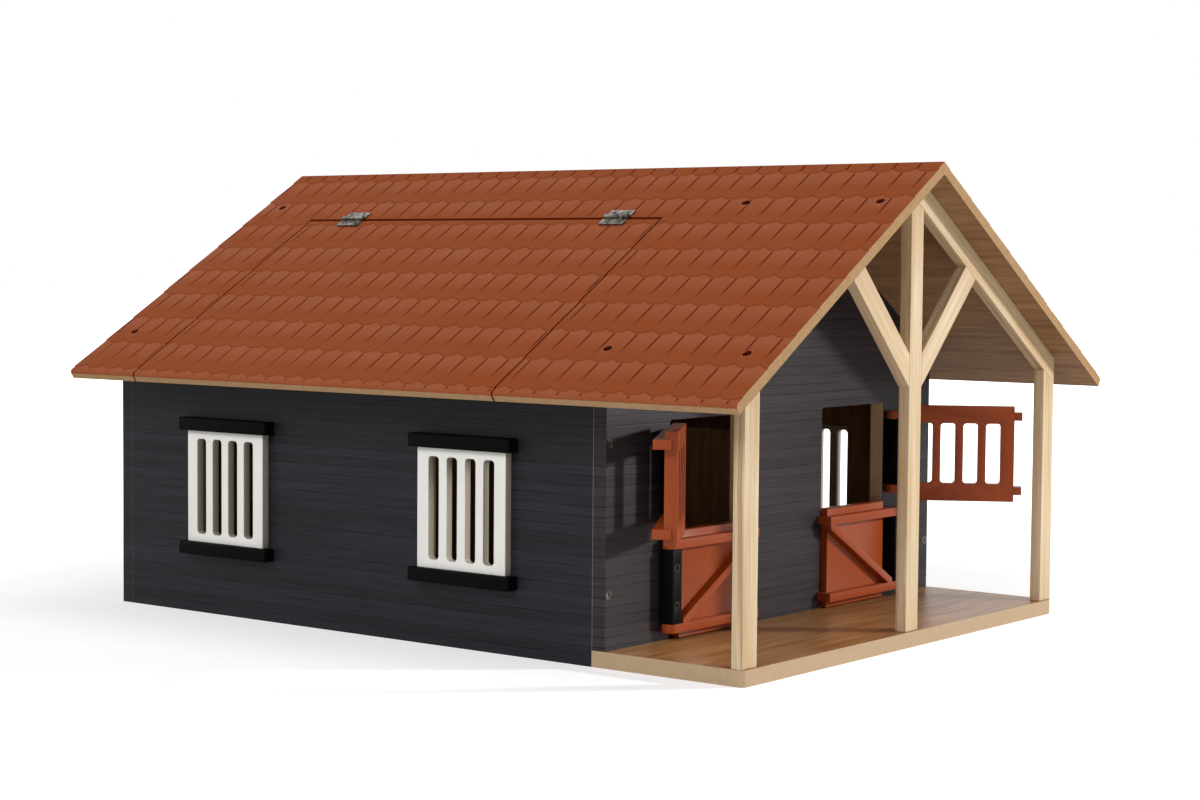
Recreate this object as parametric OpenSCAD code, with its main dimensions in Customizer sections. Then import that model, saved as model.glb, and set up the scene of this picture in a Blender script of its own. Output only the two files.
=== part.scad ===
// Toy barn for small play horses: a board house with a tiled roof, a lift-up roof hatch,
// four grilled windows, an open porch on timber posts and two split stable doors.
// The porch faces -Y, the ridge runs along Y and the ground is at z = 0.

/* [Roof] */
// Length of the roof along the ridge
roof_len = 505; // [495:1:540]
// Height of the ridge above the ground
ridge_h = 275; // [268:1:300]
// Slope of the roof in degrees
roof_pitch = 32.3; // [31:0.1:33]
// Length of each slope from the ridge to the eave
slope_len = 239; // [234:1:250]
// Thickness of the roof boards
roof_t = 6; // [5:0.5:8]
// Radius of the upper eave edge
eave_r = 2; // [1:0.5:3]
// Distance from the ridge to the lower edge of the first tile course
first_course = 9.5; // [6:0.5:14]
// Visible length of a tile course
course_len = 28.1; // [24:0.1:34]
// Height of the step below each tile course
course_step = 0.6; // [0.3:0.1:0.8]
// Roof overhang in front of the base plate
front_overhang = 15.5; // [8:0.5:24]
// Roof overhang behind the rear wall
rear_overhang = 12.5; // [6:0.5:20]

/* [Roof hatch] */
// Distance from the ridge to the hinged seam of the hatch
hatch_top = 59.3; // [52:0.1:70]
// Distance from the front wall's face to the front seam of the hatch
hatch_front_inset = 54; // [40:1:70]
// Distance from the rear wall's face to the rear seam of the hatch
hatch_rear_inset = 46; // [34:1:60]
// Width of the hinged seam above the hatch
hatch_top_gap = 1.8; // [1.6:0.1:2.4]
// Width of the seams at the two sides of the hatch
hatch_side_gap = 1.2; // [0.8:0.1:2]
// Gap between the top of a side wall and the roof, which lets the hatch close freely
seat_gap = 0.3; // [0.3:0.1:0.6]
// Length of a hatch hinge along its pin
hinge_len = 18; // [15:0.5:24]
// Width of an open hatch hinge across its pin
hinge_span = 15.5; // [15:0.5:22]
// Thickness of a hinge leaf
hinge_t = 0.8; // [0.6:0.1:1]
// Radius of the hinge pin
hinge_pin_r = 0.7; // [0.5:0.05:0.9]
// Wall thickness of the hinge knuckles
knuckle_wall = 0.7; // [0.5:0.05:0.9]
// Half of the gap between two hinge knuckles
knuckle_gap = 0.15; // [0.15:0.05:0.3]
// Height of the hinge leaves above the roof surface
hinge_lift = 0.1; // [0.1:0.05:0.3]
// Distance of the hinge screws from the hinge pin
hinge_screw_out = 5.3; // [5:0.1:5.6]
// Distance of the hinge screws from the ends of the hinge
hinge_screw_in = 3.8; // [3:0.2:5]
// Radius of a hatch hinge screw
hinge_screw_r = 0.8; // [0.6:0.05:0.9]
// Radius of the head of a hatch hinge screw
hinge_head_r = 1.5; // [1.3:0.1:1.8]
// Height of the head of a hatch hinge screw
hinge_head_h = 0.7; // [0.5:0.05:0.8]
// Length of a hatch hinge screw
hinge_screw_len = 5; // [4:0.2:5.4]
// Distance from the hatch's front seam to the front hinge
hinge_front_inset = 23.5; // [12:0.5:60]
// Distance from the hatch's rear seam to the rear hinge
hinge_rear_inset = 30.5; // [12:0.5:60]

/* [Walls and base] */
// Outer width across the side walls
wall_w = 340; // [330:1:346]
// Thickness of the wall and base boards
board_t = 9; // [8:0.5:10]
// Depth of the porch from the front edge of the base to the front wall
porch_d = 90; // [86:1:110]
// Radius of the base plate's two front corners
base_corner_r = 3; // [1:0.5:5]
// Height of the stall partition above the floor
partition_h = 109; // [80:1:120]
// Distance from the middle of the house to the inner edge of each doorway
door_in = 42; // [34:1:44]
// Gap between the free edge of a door leaf and the doorway
door_free_gap = 1.4; // [1:0.1:2]
// Gap above the upper door leaf
door_top_gap = 0.8; // [0.5:0.1:1.5]
// Radius of the upper doorway corners
door_corner_r = 2; // [1:0.5:3]

/* [Windows] */
// Width of a window grille
grille_w = 65; // [60:1:72]
// Height of a window grille
grille_h = 68; // [60:1:74]
// Thickness of a window grille
grille_t = 5; // [3:0.5:6]
// Height of the grille's lower edge above the ground
grille_z = 44.5; // [36:0.5:50]
// Width of a slot in a window grille
slot_w = 8; // [6:0.5:9]
// Width of a bar between two slots of a window grille
bar_w = 5.6; // [4:0.2:6.4]
// Distance from a slot's end to the edge of the grille
slot_end = 4.8; // [3:0.2:9]
// Radius of the slot corners
slot_r = 2.4; // [1:0.2:2.8]
// Width of the rim of the grille that is glued to the wall around the opening
grille_seat = 1.4; // [1:0.1:2.6]
// Overhang of the lintel and sill beyond each side of the grille
trim_over = 5; // [2:0.5:8]
// Height of the lintel and sill bars
trim_h = 8; // [6:0.5:10]
// Depth of the lintel and sill bars
trim_d = 8.5; // [6:0.5:11]
// Spacing of the two left windows, middle to middle
left_window_span = 190; // [160:1:210]
// Spacing of the two right windows, middle to middle
right_window_span = 215; // [180:1:230]

/* [Porch timber] */
// Width of the posts and braces
post_w = 13.5; // [11:0.5:15]
// Depth of the porch timber from front to back
post_d = 7; // [6:0.5:9]
// Distance of the porch timber behind the front edge of the base
post_inset = 1; // [0.5:0.5:4]
// Depth of the rafters below the roof boards
rafter_h = 13; // [11:0.5:16]
// Height of the joint where the braces leave the middle post, at its lower side
brace_z = 148; // [140:1:156]

/* [Doors] */
// Height of one door leaf
leaf_h = 59.5; // [57:0.5:60.5]
// Width of a door leaf without its tenons
leaf_w = 68; // [60:0.5:70]
// Thickness of the door panel
leaf_t = 7; // [5:0.5:8]
// Distance by which the door panel stands in front of the wall
leaf_proud = 3.9; // [3:0.1:5]
// Gap below the lower leaf
floor_gap = 0.8; // [0.5:0.1:1]
// Gap between the two leaves
leaf_gap = 1.2; // [0.8:0.1:1.4]
// Height of a door rail
rail_h = 5; // [4:0.5:6]
// Depth of a door rail from front to back
rail_d = 9.4; // [9:0.1:9.6]
// Gap between the rails and the wall
rail_gap = 0.3; // [0.3:0.1:0.5]
// Distance from the edge of a leaf to its rail
rail_inset = 4; // [3:0.5:5]
// Length of the rail beyond the free edge of the leaf
tenon_len = 5; // [3:0.5:8]
// Distance from the hinge axis to the near edge of the leaf
leaf_offset = 6.6; // [6.5:0.1:6.8]
// Distance from the hinge axis to the doorway edge
hinge_out = 5; // [4.6:0.1:5.4]
// Width of a hinge block
block_w = 8; // [7.5:0.1:8]
// Gap between a hinge block and the tenons above and below it
block_gap = 0.4; // [0.3:0.1:0.8]
// Radius of the door hinge pins
pin_r = 1.25; // [1:0.05:1.4]
// Depth of the pin's hole in the tenon
pin_in_tenon = 3.4; // [2.5:0.1:3.6]
// Depth of the pin's hole in the hinge block
pin_in_block = 5; // [4:0.5:6]
// Radial clearance of a pin in its hole
pin_clear = 0.05; // [0.02:0.01:0.1]
// Width of a slot in an upper leaf
leaf_slot_w = 9; // [8:0.5:10]
// Width of a bar between two slots of an upper leaf
leaf_bar_w = 5; // [4:0.5:5.5]
// Height of a slot in an upper leaf
leaf_slot_h = 37.6; // [30:0.2:38]
// Radius of the slot corners in an upper leaf
leaf_slot_r = 2; // [1:0.2:2.6]
// Width of the diagonal brace on a lower leaf
strut_w = 4.4; // [3:0.1:6]
// Distance of the diagonal brace's face behind the front of the rails
strut_back = 0.4; // [0.2:0.1:1.5]
// Distance by which the diagonal brace runs past the free edge of its leaf
strut_over = 3.9; // [2:0.1:4.4]
// Distance by which the panel of a lower leaf keeps back from the hinge side
lower_trim = 3.3; // [0:0.1:4]
// End play of a hinge pin in its two holes together
pin_play = 0.4; // [0.2:0.1:0.6]
// Opening angle of the left upper leaf as it stands
left_open = 147.5; // [120:0.5:160]
// Opening angle of the right upper leaf as it stands
right_open = 121; // [100:1:150]

/* [Screws] */
// Radius of a screw shank
screw_r = 1.5; // [1.2:0.1:1.6]
// Radius of a countersunk screw head
head_r = 2.5; // [2.3:0.1:2.8]
// Height of a countersunk screw head
head_h = 1.5; // [1.2:0.1:1.8]
// Length of a roof screw
roof_screw_len = 14; // [12:0.5:15]
// Depth of the roof screw heads below the roof surface
roof_screw_sink = 1.6; // [1:0.1:2]
// Distance from the ridge to the upper roof screws
roof_screw_top = 42; // [30:1:48]
// Distance from the ridge to the lower roof screws
roof_screw_low = 194; // [180:1:198]
// Length of a wall or base screw
wall_screw_len = 25; // [20:1:30]
// Distance of the gable wall screws from the house's side face
wall_screw_in = 3; // [3:0.1:5]
// Height of the lower gable wall screws
wall_screw_low = 39.5; // [25:0.5:60]
// Height of the upper gable wall screws
wall_screw_high = 120.5; // [90:0.5:125]
// Distance of a hinge block's screws from its ends
block_screw_in = 9.9; // [9.5:0.1:12]
// Length of a hinge block screw
block_screw_len = 17; // [14:0.5:18]
// Distance of the outer base screws under the front wall from its ends
base_screw_in = 18; // [12:1:40]
// Width of the cross recess in a screw head
recess_w = 0.6; // [0.4:0.1:0.8]
// Half length of a cross recess's arm as a share of the head's radius
recess_share = 0.6; // [0.5:0.05:0.7]
// Depth of the cross recess in a screw head
recess_depth = 0.7; // [0.4:0.05:0.8]
// Clearance around a screw head in its seat
head_clear = 0.1; // [0.05:0.05:0.2]

/* [Hidden] */
$fn = 48;

// Overshoot of every cutting tool beyond the face it cuts
over = 1;
// Overlap of two solids that are joined into one
overlap = 0.01;
// Room beyond the tip of a screw
tip_room = 0.3;

// Places along Y, from the front to the back
roof_front = -roof_len / 2;
base_front = roof_front + front_overhang;
wall_front = base_front + porch_d;
wall_rear = roof_len / 2 - rear_overhang;
house_mid = (wall_front + wall_rear) / 2;
side_front = wall_front + board_t;
side_rear = wall_rear - board_t;
timber_y = base_front + post_inset;

// Heights of the roof's underside
half_w = wall_w / 2;
roof_drop = roof_t / cos(roof_pitch);
rafter_drop = rafter_h / cos(roof_pitch);
function under(x) = ridge_h - roof_drop - abs(x) * tan(roof_pitch);

// Tile courses on a slope
courses = floor((slope_len - eave_r - first_course) / course_len);
last_course = first_course + courses * course_len;
function course_depth(u) = course_step * (1 - (u - last_course) / course_len);

// Places of the hatch and its hinges
hatch_y0 = wall_front + hatch_front_inset;
hatch_y1 = wall_rear - hatch_rear_inset;
knuckle_r = hinge_pin_r + knuckle_wall;
hinge_y = [hatch_y0 + hinge_front_inset, hatch_y1 - hinge_rear_inset - hinge_len];
knuckle_len = hinge_len / 5;

// Places of the doors
floor_z = board_t;
leaf_pivot_y = wall_front - rail_gap - rail_d / 2;
door_w = leaf_offset - hinge_out + leaf_w + door_free_gap;
door_h = floor_gap + 2 * leaf_h + leaf_gap + door_top_gap;
pivot_x = door_in + door_w + hinge_out;
lower_z = floor_z + floor_gap;
upper_z = lower_z + leaf_h + leaf_gap;
block_d = rail_gap + rail_d;
block_h = leaf_h - 2 * (rail_inset + rail_h) - 2 * block_gap;
block_z = rail_inset + rail_h + block_gap;
leaf_slots = 4;

// Windows: side, middle along Y
window_z = grille_z + grille_h / 2;
window_slots = 4;
slot_h = grille_h - 2 * slot_end;
pattern_w = window_slots * slot_w + (window_slots - 1) * bar_w;
window_cut_w = grille_w - 2 * grille_seat;
window_cut_h = grille_h - 2 * grille_seat;
left_windows = [house_mid - left_window_span / 2, house_mid + left_window_span / 2];
right_windows = [house_mid - right_window_span / 2, house_mid + right_window_span / 2];

// Places of the screws
roof_screw_y = [timber_y + post_d / 2, wall_front + board_t / 2, wall_rear - board_t / 2];
roof_screw_u = [roof_screw_top, roof_screw_low];
post_x = half_w - post_w / 2;
base_wall_screw_x = [-(half_w - base_screw_in), 0, half_w - base_screw_in];

// A frame on the right slope: X runs down the slope, Z stands out of it
module right_slope() {
    translate([0, 0, ridge_h]) rotate([0, roof_pitch, 0]) children();
}

// The same frame mirrored onto the left slope
module left_slope() {
    mirror([1, 0, 0]) right_slope() children();
}

// A flat outline in X and Z, carried along Y from y0 to y1
module along_y(y0, y1) {
    translate([0, y1, 0]) rotate([90, 0, 0]) linear_extrude(height = y1 - y0) children();
}

// A rectangle with round corners, standing on its lower left corner
module round_rect(w, h, r) {
    translate([r, 0]) square([w - 2 * r, h]);
    translate([0, r]) square([w, h - 2 * r]);
    for (x = [r, w - r], y = [r, h - r]) translate([x, y]) circle(r = r);
}

// Section of a roof board: stepped tile courses on top and a plumb cut at the ridge
module slope_section() {
    eave_drop = course_depth(slope_len - eave_r);
    eave_arc = [
        for (a = [90:-22.5:0])
            [slope_len - eave_r + eave_r * cos(a), -eave_drop - eave_r + eave_r * sin(a)]
    ];
    tiles = [
        for (k = [0:courses - 1])
            each [
                [first_course + k * course_len, 0],
                [first_course + k * course_len, -course_step]
            ]
    ];
    polygon(concat(
        [[0, 0]],
        tiles,
        [[last_course, 0], [last_course, -course_step]],
        eave_arc,
        [[slope_len, -roof_t], [roof_t * tan(roof_pitch), -roof_t]]
    ));
}

// A roof board on the slope frame from y0 to y1
module slope_board(y0, y1) {
    along_y(y0, y1) slope_section();
}

// The region of the slope between the hatch's seams; k is 1 for the hatch and -1 for its hole
module hatch_region(k) {
    top = hatch_top + k * hatch_top_gap / 2;
    side = k * hatch_side_gap / 2;
    translate([top, hatch_y0 + side, -roof_t - over])
        cube([slope_len - top + over, hatch_y1 - hatch_y0 - 2 * side, roof_t + 2 * over]);
}

// Places every roof screw of one slope, with Z out of the roof
module roof_screw_places() {
    for (y = roof_screw_y, u = roof_screw_u) translate([u, y, 0]) children();
}

// The hole that a roof screw leaves: a sunk head seat and a bore for the shank
module roof_screw_hole() {
    translate([0, 0, -roof_screw_sink - head_h])
        cylinder(r = head_r + head_clear, h = roof_screw_sink + head_h + over);
    translate([0, 0, -roof_screw_sink - roof_screw_len - tip_room])
        cylinder(r = screw_r + pin_clear, h = roof_screw_len + tip_room);
}

// All roof screw holes of both slopes
module roof_screw_holes() {
    right_slope() roof_screw_places() roof_screw_hole();
    left_slope() roof_screw_places() roof_screw_hole();
}

// A countersunk screw with its head flush at the origin and its shank along -Z
module screw(len, r, hr, hh) {
    difference() {
        union() {
            translate([0, 0, -hh]) cylinder(r1 = r, r2 = hr, h = hh);
            translate([0, 0, -len]) cylinder(r = r, h = len - hh + overlap);
        }
        for (a = [0, 90])
            rotate([0, 0, a]) translate([-hr * recess_share, -recess_w / 2, -recess_depth])
                cube([2 * hr * recess_share, recess_w, recess_depth + over]);
    }
}

// The hole of a countersunk screw whose head is flush at the origin
module screw_hole(len, r, hr, hh) {
    translate([0, 0, -hh]) cylinder(r1 = r + pin_clear, r2 = hr + head_clear, h = hh);
    translate([0, 0, -overlap]) cylinder(r = hr + head_clear, h = over);
    translate([0, 0, -len - tip_room]) cylinder(r = r + pin_clear, h = len + tip_room);
}

// Places the gable wall screws; dir is -1 for the front wall and 1 for the rear wall
module wall_screw_places(y, dir) {
    for (x = [-1, 1], z = [wall_screw_low, wall_screw_high])
        translate([x * (half_w - wall_screw_in), y, z]) rotate([-90 * dir, 0, 0]) children();
}

// Places the screws that come up through the base plate
module base_screw_places() {
    for (x = [-post_x, 0, post_x])
        translate([x, timber_y + post_d / 2, 0]) rotate([180, 0, 0]) children();
    for (x = base_wall_screw_x)
        translate([x, wall_front + board_t / 2, 0]) rotate([180, 0, 0]) children();
}

// Places the four hinge blocks' screws on the wall; side is -1 for left, z the leaf's foot
module block_screw_places(side, z) {
    for (h = [block_screw_in, block_h - block_screw_in])
        translate([side * pivot_x, wall_front - block_d, z + block_z + h]) rotate([90, 0, 0]) children();
}

// All the bores that the hinge block screws make in the front wall
module block_screw_bores() {
    for (side = [-1, 1], z = [lower_z, upper_z])
        block_screw_places(side, z) screw_hole(block_screw_len, screw_r, head_r, head_h);
}

// A gable wall from z0 to the roof's underside, in the X Z plane
module gable(z0) {
    polygon([
        [-half_w, z0], [half_w, z0], [half_w, under(half_w)], [0, under(0)], [-half_w, under(half_w)]
    ]);
}

// A doorway outline with round upper corners, its foot at the floor
module doorway() {
    translate([door_in, floor_z - over]) square([door_w, door_h + over - door_corner_r]);
    translate([door_in, floor_z]) round_rect(door_w, door_h, door_corner_r);
}

// Base plate: full width under the porch and front wall, narrower between the side walls
module base_plate() {
    color("tan") difference() {
        union() {
            translate([-half_w, base_front, 0]) linear_extrude(height = board_t)
                round_rect(wall_w, porch_d + board_t, base_corner_r);
            translate([-half_w, base_front + 2 * base_corner_r, 0])
                cube([wall_w, porch_d + board_t - 2 * base_corner_r, board_t]);
            translate([-half_w + board_t, side_front - overlap, 0])
                cube([wall_w - 2 * board_t, side_rear - side_front + overlap, board_t]);
        }
        base_screw_places() screw_hole(wall_screw_len, screw_r, head_r, head_h);
    }
}

// Front gable wall with two doorways, standing on the base plate
module front_wall() {
    color("dimgray") difference() {
        along_y(wall_front, side_front) difference() {
            gable(floor_z);
            doorway();
            mirror([1, 0]) doorway();
        }
        wall_screw_places(wall_front, -1) screw_hole(wall_screw_len, screw_r, head_r, head_h);
        base_screw_places() screw_hole(wall_screw_len, screw_r, head_r, head_h);
        block_screw_bores();
        roof_screw_holes();
    }
}

// Rear gable wall, which reaches the ground
module rear_wall() {
    color("dimgray") difference() {
        along_y(side_rear, wall_rear) gable(0);
        wall_screw_places(wall_rear, 1) screw_hole(wall_screw_len, screw_r, head_r, head_h);
        roof_screw_holes();
    }
}

// Side wall in the right-hand place, with openings behind its two grilles
module side_wall(windows) {
    difference() {
        along_y(side_front, side_rear) polygon([
            [half_w - board_t, 0], [half_w, 0], [half_w, under(half_w) - seat_gap],
            [half_w - board_t, under(half_w - board_t) - seat_gap]
        ]);
        for (y = windows)
            translate([half_w - board_t - over, y - window_cut_w / 2, window_z - window_cut_h / 2])
                cube([board_t + 2 * over, window_cut_w, window_cut_h]);
        wall_screw_places(wall_front, -1) screw_hole(wall_screw_len, screw_r, head_r, head_h);
        wall_screw_places(wall_rear, 1) screw_hole(wall_screw_len, screw_r, head_r, head_h);
    }
}

// Left side wall
module left_side_wall() {
    color("dimgray") mirror([1, 0, 0]) side_wall(left_windows);
}

// Right side wall
module right_side_wall() {
    color("dimgray") side_wall(right_windows);
}

// Low wall between the two stalls
module stall_partition() {
    color("burlywood") translate([-board_t / 2, side_front, floor_z])
        cube([board_t, side_rear - side_front, partition_h]);
}

// Left roof panel, cut out around the hatch
module left_roof_panel() {
    color("sienna") left_slope() difference() {
        slope_board(roof_front, -roof_front);
        hatch_region(-1);
        roof_screw_places() roof_screw_hole();
        hatch_screw_places(-1) hinge_screw_hole();
    }
}

// Right roof panel
module right_roof_panel() {
    color("sienna") right_slope() difference() {
        slope_board(roof_front, -roof_front);
        roof_screw_places() roof_screw_hole();
    }
}

// Lift-up part of the left slope
module roof_hatch() {
    color("sienna") left_slope() difference() {
        intersection() {
            slope_board(hatch_y0, hatch_y1);
            hatch_region(1);
        }
        hatch_screw_places(1) hinge_screw_hole();
    }
}

// Window grille with four slots, in the right-hand place with its middle at y
module grille(y) {
    color("whitesmoke") translate([half_w, y - grille_w / 2, grille_z])
        rotate([90, 0, 90]) linear_extrude(height = grille_t) difference() {
            square([grille_w, grille_h]);
            for (k = [0:window_slots - 1])
                translate([(grille_w - pattern_w) / 2 + k * (slot_w + bar_w), (grille_h - slot_h) / 2])
                    round_rect(slot_w, slot_h, slot_r);
        }
}

// Lintel or sill bar in the right-hand place, its foot at z
module trim_bar(y, z) {
    color("black") translate([half_w, y - grille_w / 2 - trim_over, z])
        cube([trim_d, grille_w + 2 * trim_over, trim_h]);
}

// Lintel above a grille
module lintel(y) {
    trim_bar(y, grille_z + grille_h);
}

// Sill below a grille
module sill(y) {
    trim_bar(y, grille_z - trim_h);
}

// The same piece on the left-hand side
module on_left() {
    mirror([1, 0, 0]) children();
}

// Porch post at x, with its head cut to the rafters' underside
module corner_post(side) {
    color("wheat") difference() {
        along_y(timber_y, timber_y + post_d) polygon([
            [side * (half_w - post_w), floor_z], [side * half_w, floor_z],
            [side * half_w, under(half_w) - rafter_drop],
            [side * (half_w - post_w), under(half_w - post_w) - rafter_drop]
        ]);
        base_screw_places() screw_hole(wall_screw_len, screw_r, head_r, head_h);
        roof_screw_holes();
    }
}

// Middle post, running up to the joint of the two rafters
module middle_post() {
    color("wheat") difference() {
        along_y(timber_y, timber_y + post_d) polygon([
            [-post_w / 2, floor_z], [post_w / 2, floor_z], [post_w / 2, under(post_w / 2) - rafter_drop],
            [0, under(0) - rafter_drop], [-post_w / 2, under(post_w / 2) - rafter_drop]
        ]);
        base_screw_places() screw_hole(wall_screw_len, screw_r, head_r, head_h);
    }
}

// Rafter under the right slope, from the ridge to the outer face of the corner post
module rafter() {
    color("wheat") difference() {
        along_y(timber_y, timber_y + post_d) polygon([
            [0, under(0)], [half_w, under(half_w)], [half_w, under(half_w) - rafter_drop],
            [0, under(0) - rafter_drop]
        ]);
        roof_screw_holes();
    }
}

// Brace at 45 degrees from the middle post up to the right rafter
module brace() {
    foot_x = post_w / 2;
    rise = post_w * sqrt(2);
    slope = tan(roof_pitch);
    // The brace's lower edge is z = brace_z - foot_x + x; it meets the rafter where the heights agree
    low_x = (under(0) - rafter_drop - brace_z + foot_x) / (1 + slope);
    high_x = (under(0) - rafter_drop - brace_z - rise + foot_x) / (1 + slope);
    color("wheat") along_y(timber_y, timber_y + post_d) polygon([
        [foot_x, brace_z], [low_x, under(low_x) - rafter_drop],
        [high_x, under(high_x) - rafter_drop], [foot_x, brace_z + rise]
    ]);
}

// Hinge block beside the doorway; side is -1 for left, z the foot of its leaf
module hinge_block(side, z) {
    color("black") difference() {
        translate([side * pivot_x - block_w / 2, wall_front - block_d, z + block_z])
            cube([block_w, block_d, block_h]);
        block_screw_places(side, z) screw_hole(block_screw_len, screw_r, head_r, head_h);
        for (zz = [z + block_z - over, z + block_z + block_h - pin_in_block])
            translate([side * pivot_x, leaf_pivot_y, zz]) cylinder(r = pin_r + pin_clear, h = pin_in_block + over);
    }
}

// The two pins that carry one leaf
module hinge_pins(side, z) {
    len = pin_in_block + block_gap + pin_in_tenon - pin_play;
    low = z + block_z + pin_in_block - pin_play / 2 - len;
    high = z + block_z + block_h - pin_in_block + pin_play / 2;
    color("silver") for (zz = [low, high])
        translate([side * pivot_x, leaf_pivot_y, zz]) cylinder(r = pin_r, h = len);
}

// Door leaf in its own frame, closed: the hinge axis is Z, the leaf runs along +X and
// its outer face looks along -Y
module leaf_body(slotted) {
    slab_y = rail_gap + rail_d / 2 - leaf_proud;
    rail_zs = [rail_inset, leaf_h - rail_inset - rail_h];
    slots_w = leaf_slots * leaf_slot_w + (leaf_slots - 1) * leaf_bar_w;
    trim = slotted ? 0 : lower_trim;
    difference() {
        union() {
            translate([leaf_offset + trim, slab_y, 0]) cube([leaf_w - trim, leaf_t, leaf_h]);
            for (z = rail_zs) {
                translate([0, 0, z]) cylinder(r = rail_d / 2, h = rail_h);
                translate([0, -rail_d / 2, z]) cube([leaf_offset + leaf_w + tenon_len, rail_d, rail_h]);
            }
            if (!slotted) leaf_strut(slab_y);
        }
        if (slotted)
            for (k = [0:leaf_slots - 1])
                translate([
                    leaf_offset + (leaf_w - slots_w) / 2 + k * (leaf_slot_w + leaf_bar_w),
                    slab_y + leaf_t + over,
                    (leaf_h - leaf_slot_h) / 2
                ]) rotate([90, 0, 0]) linear_extrude(height = leaf_t + 2 * over)
                    round_rect(leaf_slot_w, leaf_slot_h, leaf_slot_r);
        translate([0, 0, rail_inset + rail_h - pin_in_tenon])
            cylinder(r = pin_r + pin_clear, h = pin_in_tenon + over);
        translate([0, 0, leaf_h - rail_inset - rail_h - over])
            cylinder(r = pin_r + pin_clear, h = pin_in_tenon + over);
    }
}

// Diagonal brace of a lower leaf, from the foot at the hinge to the head at the free edge.
// It runs from rail to rail and past both edges of the panel
module leaf_strut(slab_y) {
    foot = rail_inset + rail_h;
    head = leaf_h - foot;
    x0 = leaf_offset;
    x1 = leaf_offset + leaf_w + strut_over;
    angle = atan2(head - foot, x1 - x0);
    cross = strut_w / 2 / sin(angle);
    lift = strut_w / 2 / cos(angle);
    translate([0, slab_y + overlap, 0]) rotate([90, 0, 0])
        linear_extrude(height = slab_y + rail_d / 2 - strut_back) polygon([
            [x0, foot - overlap], [x0 + cross, foot - overlap], [x1, head - lift],
            [x1, head + overlap], [x1 - cross, head + overlap], [x0, foot + lift]
        ]);
}

// A leaf in its place on the left doorway, opened by an angle
module left_leaf(z, slotted, angle) {
    color("firebrick") translate([-pivot_x, leaf_pivot_y, z]) rotate([0, 0, -angle]) leaf_body(slotted);
}

// A leaf in its place on the right doorway, opened by an angle
module right_leaf(z, slotted, angle) {
    color("firebrick") mirror([1, 0, 0]) translate([-pivot_x, leaf_pivot_y, z])
        rotate([0, 0, -angle]) leaf_body(slotted);
}

// Screws of all four hinge blocks
module block_screws() {
    color("dimgray") for (side = [-1, 1], z = [lower_z, upper_z])
        block_screw_places(side, z) screw(block_screw_len, screw_r, head_r, head_h);
}

// Screws through the front wall into the side walls
module front_wall_screws() {
    color("silver") wall_screw_places(wall_front, -1) screw(wall_screw_len, screw_r, head_r, head_h);
}

// Screws through the rear wall into the side walls
module rear_wall_screws() {
    color("silver") wall_screw_places(wall_rear, 1) screw(wall_screw_len, screw_r, head_r, head_h);
}

// Screws that hold both roof panels to the gable walls and rafters
module roof_screws() {
    color("silver") {
        right_slope() roof_screw_places()
            translate([0, 0, -roof_screw_sink]) screw(roof_screw_len, screw_r, head_r, head_h);
        left_slope() roof_screw_places()
            translate([0, 0, -roof_screw_sink]) screw(roof_screw_len, screw_r, head_r, head_h);
    }
}

// Screws up through the base plate into the posts and the front wall
module base_screws() {
    color("silver") base_screw_places() screw(wall_screw_len, screw_r, head_r, head_h);
}

// Axis of a hatch hinge, above the roof surface at the middle of the seam
hinge_axis_u = hatch_top;
hinge_axis_z = knuckle_r + hinge_lift;
hinge_half = hinge_span / 2;

// Places the screws of one kind of hinge leaf; dir is -1 above the seam and 1 below it
module hatch_screw_places(dir) {
    for (y = hinge_y, in = [hinge_screw_in, hinge_len - hinge_screw_in])
        translate([hinge_axis_u + dir * hinge_screw_out, y + in, hinge_lift + hinge_t]) children();
}

// Hole of a hinge leaf screw in the leaf and the board under it
module hinge_screw_hole() {
    screw_hole(hinge_screw_len, hinge_screw_r, hinge_head_r, hinge_head_h);
}

// One leaf of a hatch hinge on the slope frame: a plate and its knuckles round the pin;
// odd knuckles belong to the fixed leaf and even ones to the moving leaf
module hinge_leaf(dir, y) {
    knuckles = dir < 0 ? [0, 2, 4] : [1, 3];
    others = dir < 0 ? [1, 3] : [0, 2, 4];
    color("lightgray") difference() {
        union() {
            translate([dir < 0 ? hinge_axis_u - hinge_half : hinge_axis_u, y, hinge_lift])
                cube([hinge_half, hinge_len, hinge_t]);
            for (k = knuckles)
                translate([hinge_axis_u, y + (k + 1) * knuckle_len, hinge_axis_z]) rotate([90, 0, 0])
                    cylinder(r = knuckle_r, h = knuckle_len);
        }
        for (k = others)
            translate([hinge_axis_u, y + (k + 1) * knuckle_len + knuckle_gap, hinge_axis_z]) rotate([90, 0, 0])
                cylinder(r = knuckle_r + 2 * knuckle_gap, h = knuckle_len + 2 * knuckle_gap);
        translate([hinge_axis_u, y + hinge_len + over, hinge_axis_z]) rotate([90, 0, 0])
            cylinder(r = hinge_pin_r + pin_clear, h = hinge_len + 2 * over);
        hatch_screw_places(dir) hinge_screw_hole();
    }
}

// Pins of both hatch hinges
module hatch_hinge_pins() {
    color("silver") left_slope() for (y = hinge_y)
        translate([hinge_axis_u, y + hinge_len, hinge_axis_z]) rotate([90, 0, 0])
            cylinder(r = hinge_pin_r, h = hinge_len);
}

// Screws of the hinge leaves above the seam
module hatch_fixed_screws() {
    color("silver") left_slope() hatch_screw_places(-1)
        screw(hinge_screw_len, hinge_screw_r, hinge_head_r, hinge_head_h);
}

// Screws of the hinge leaves on the hatch
module hatch_moving_screws() {
    color("silver") left_slope() hatch_screw_places(1)
        screw(hinge_screw_len, hinge_screw_r, hinge_head_r, hinge_head_h);
}

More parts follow.
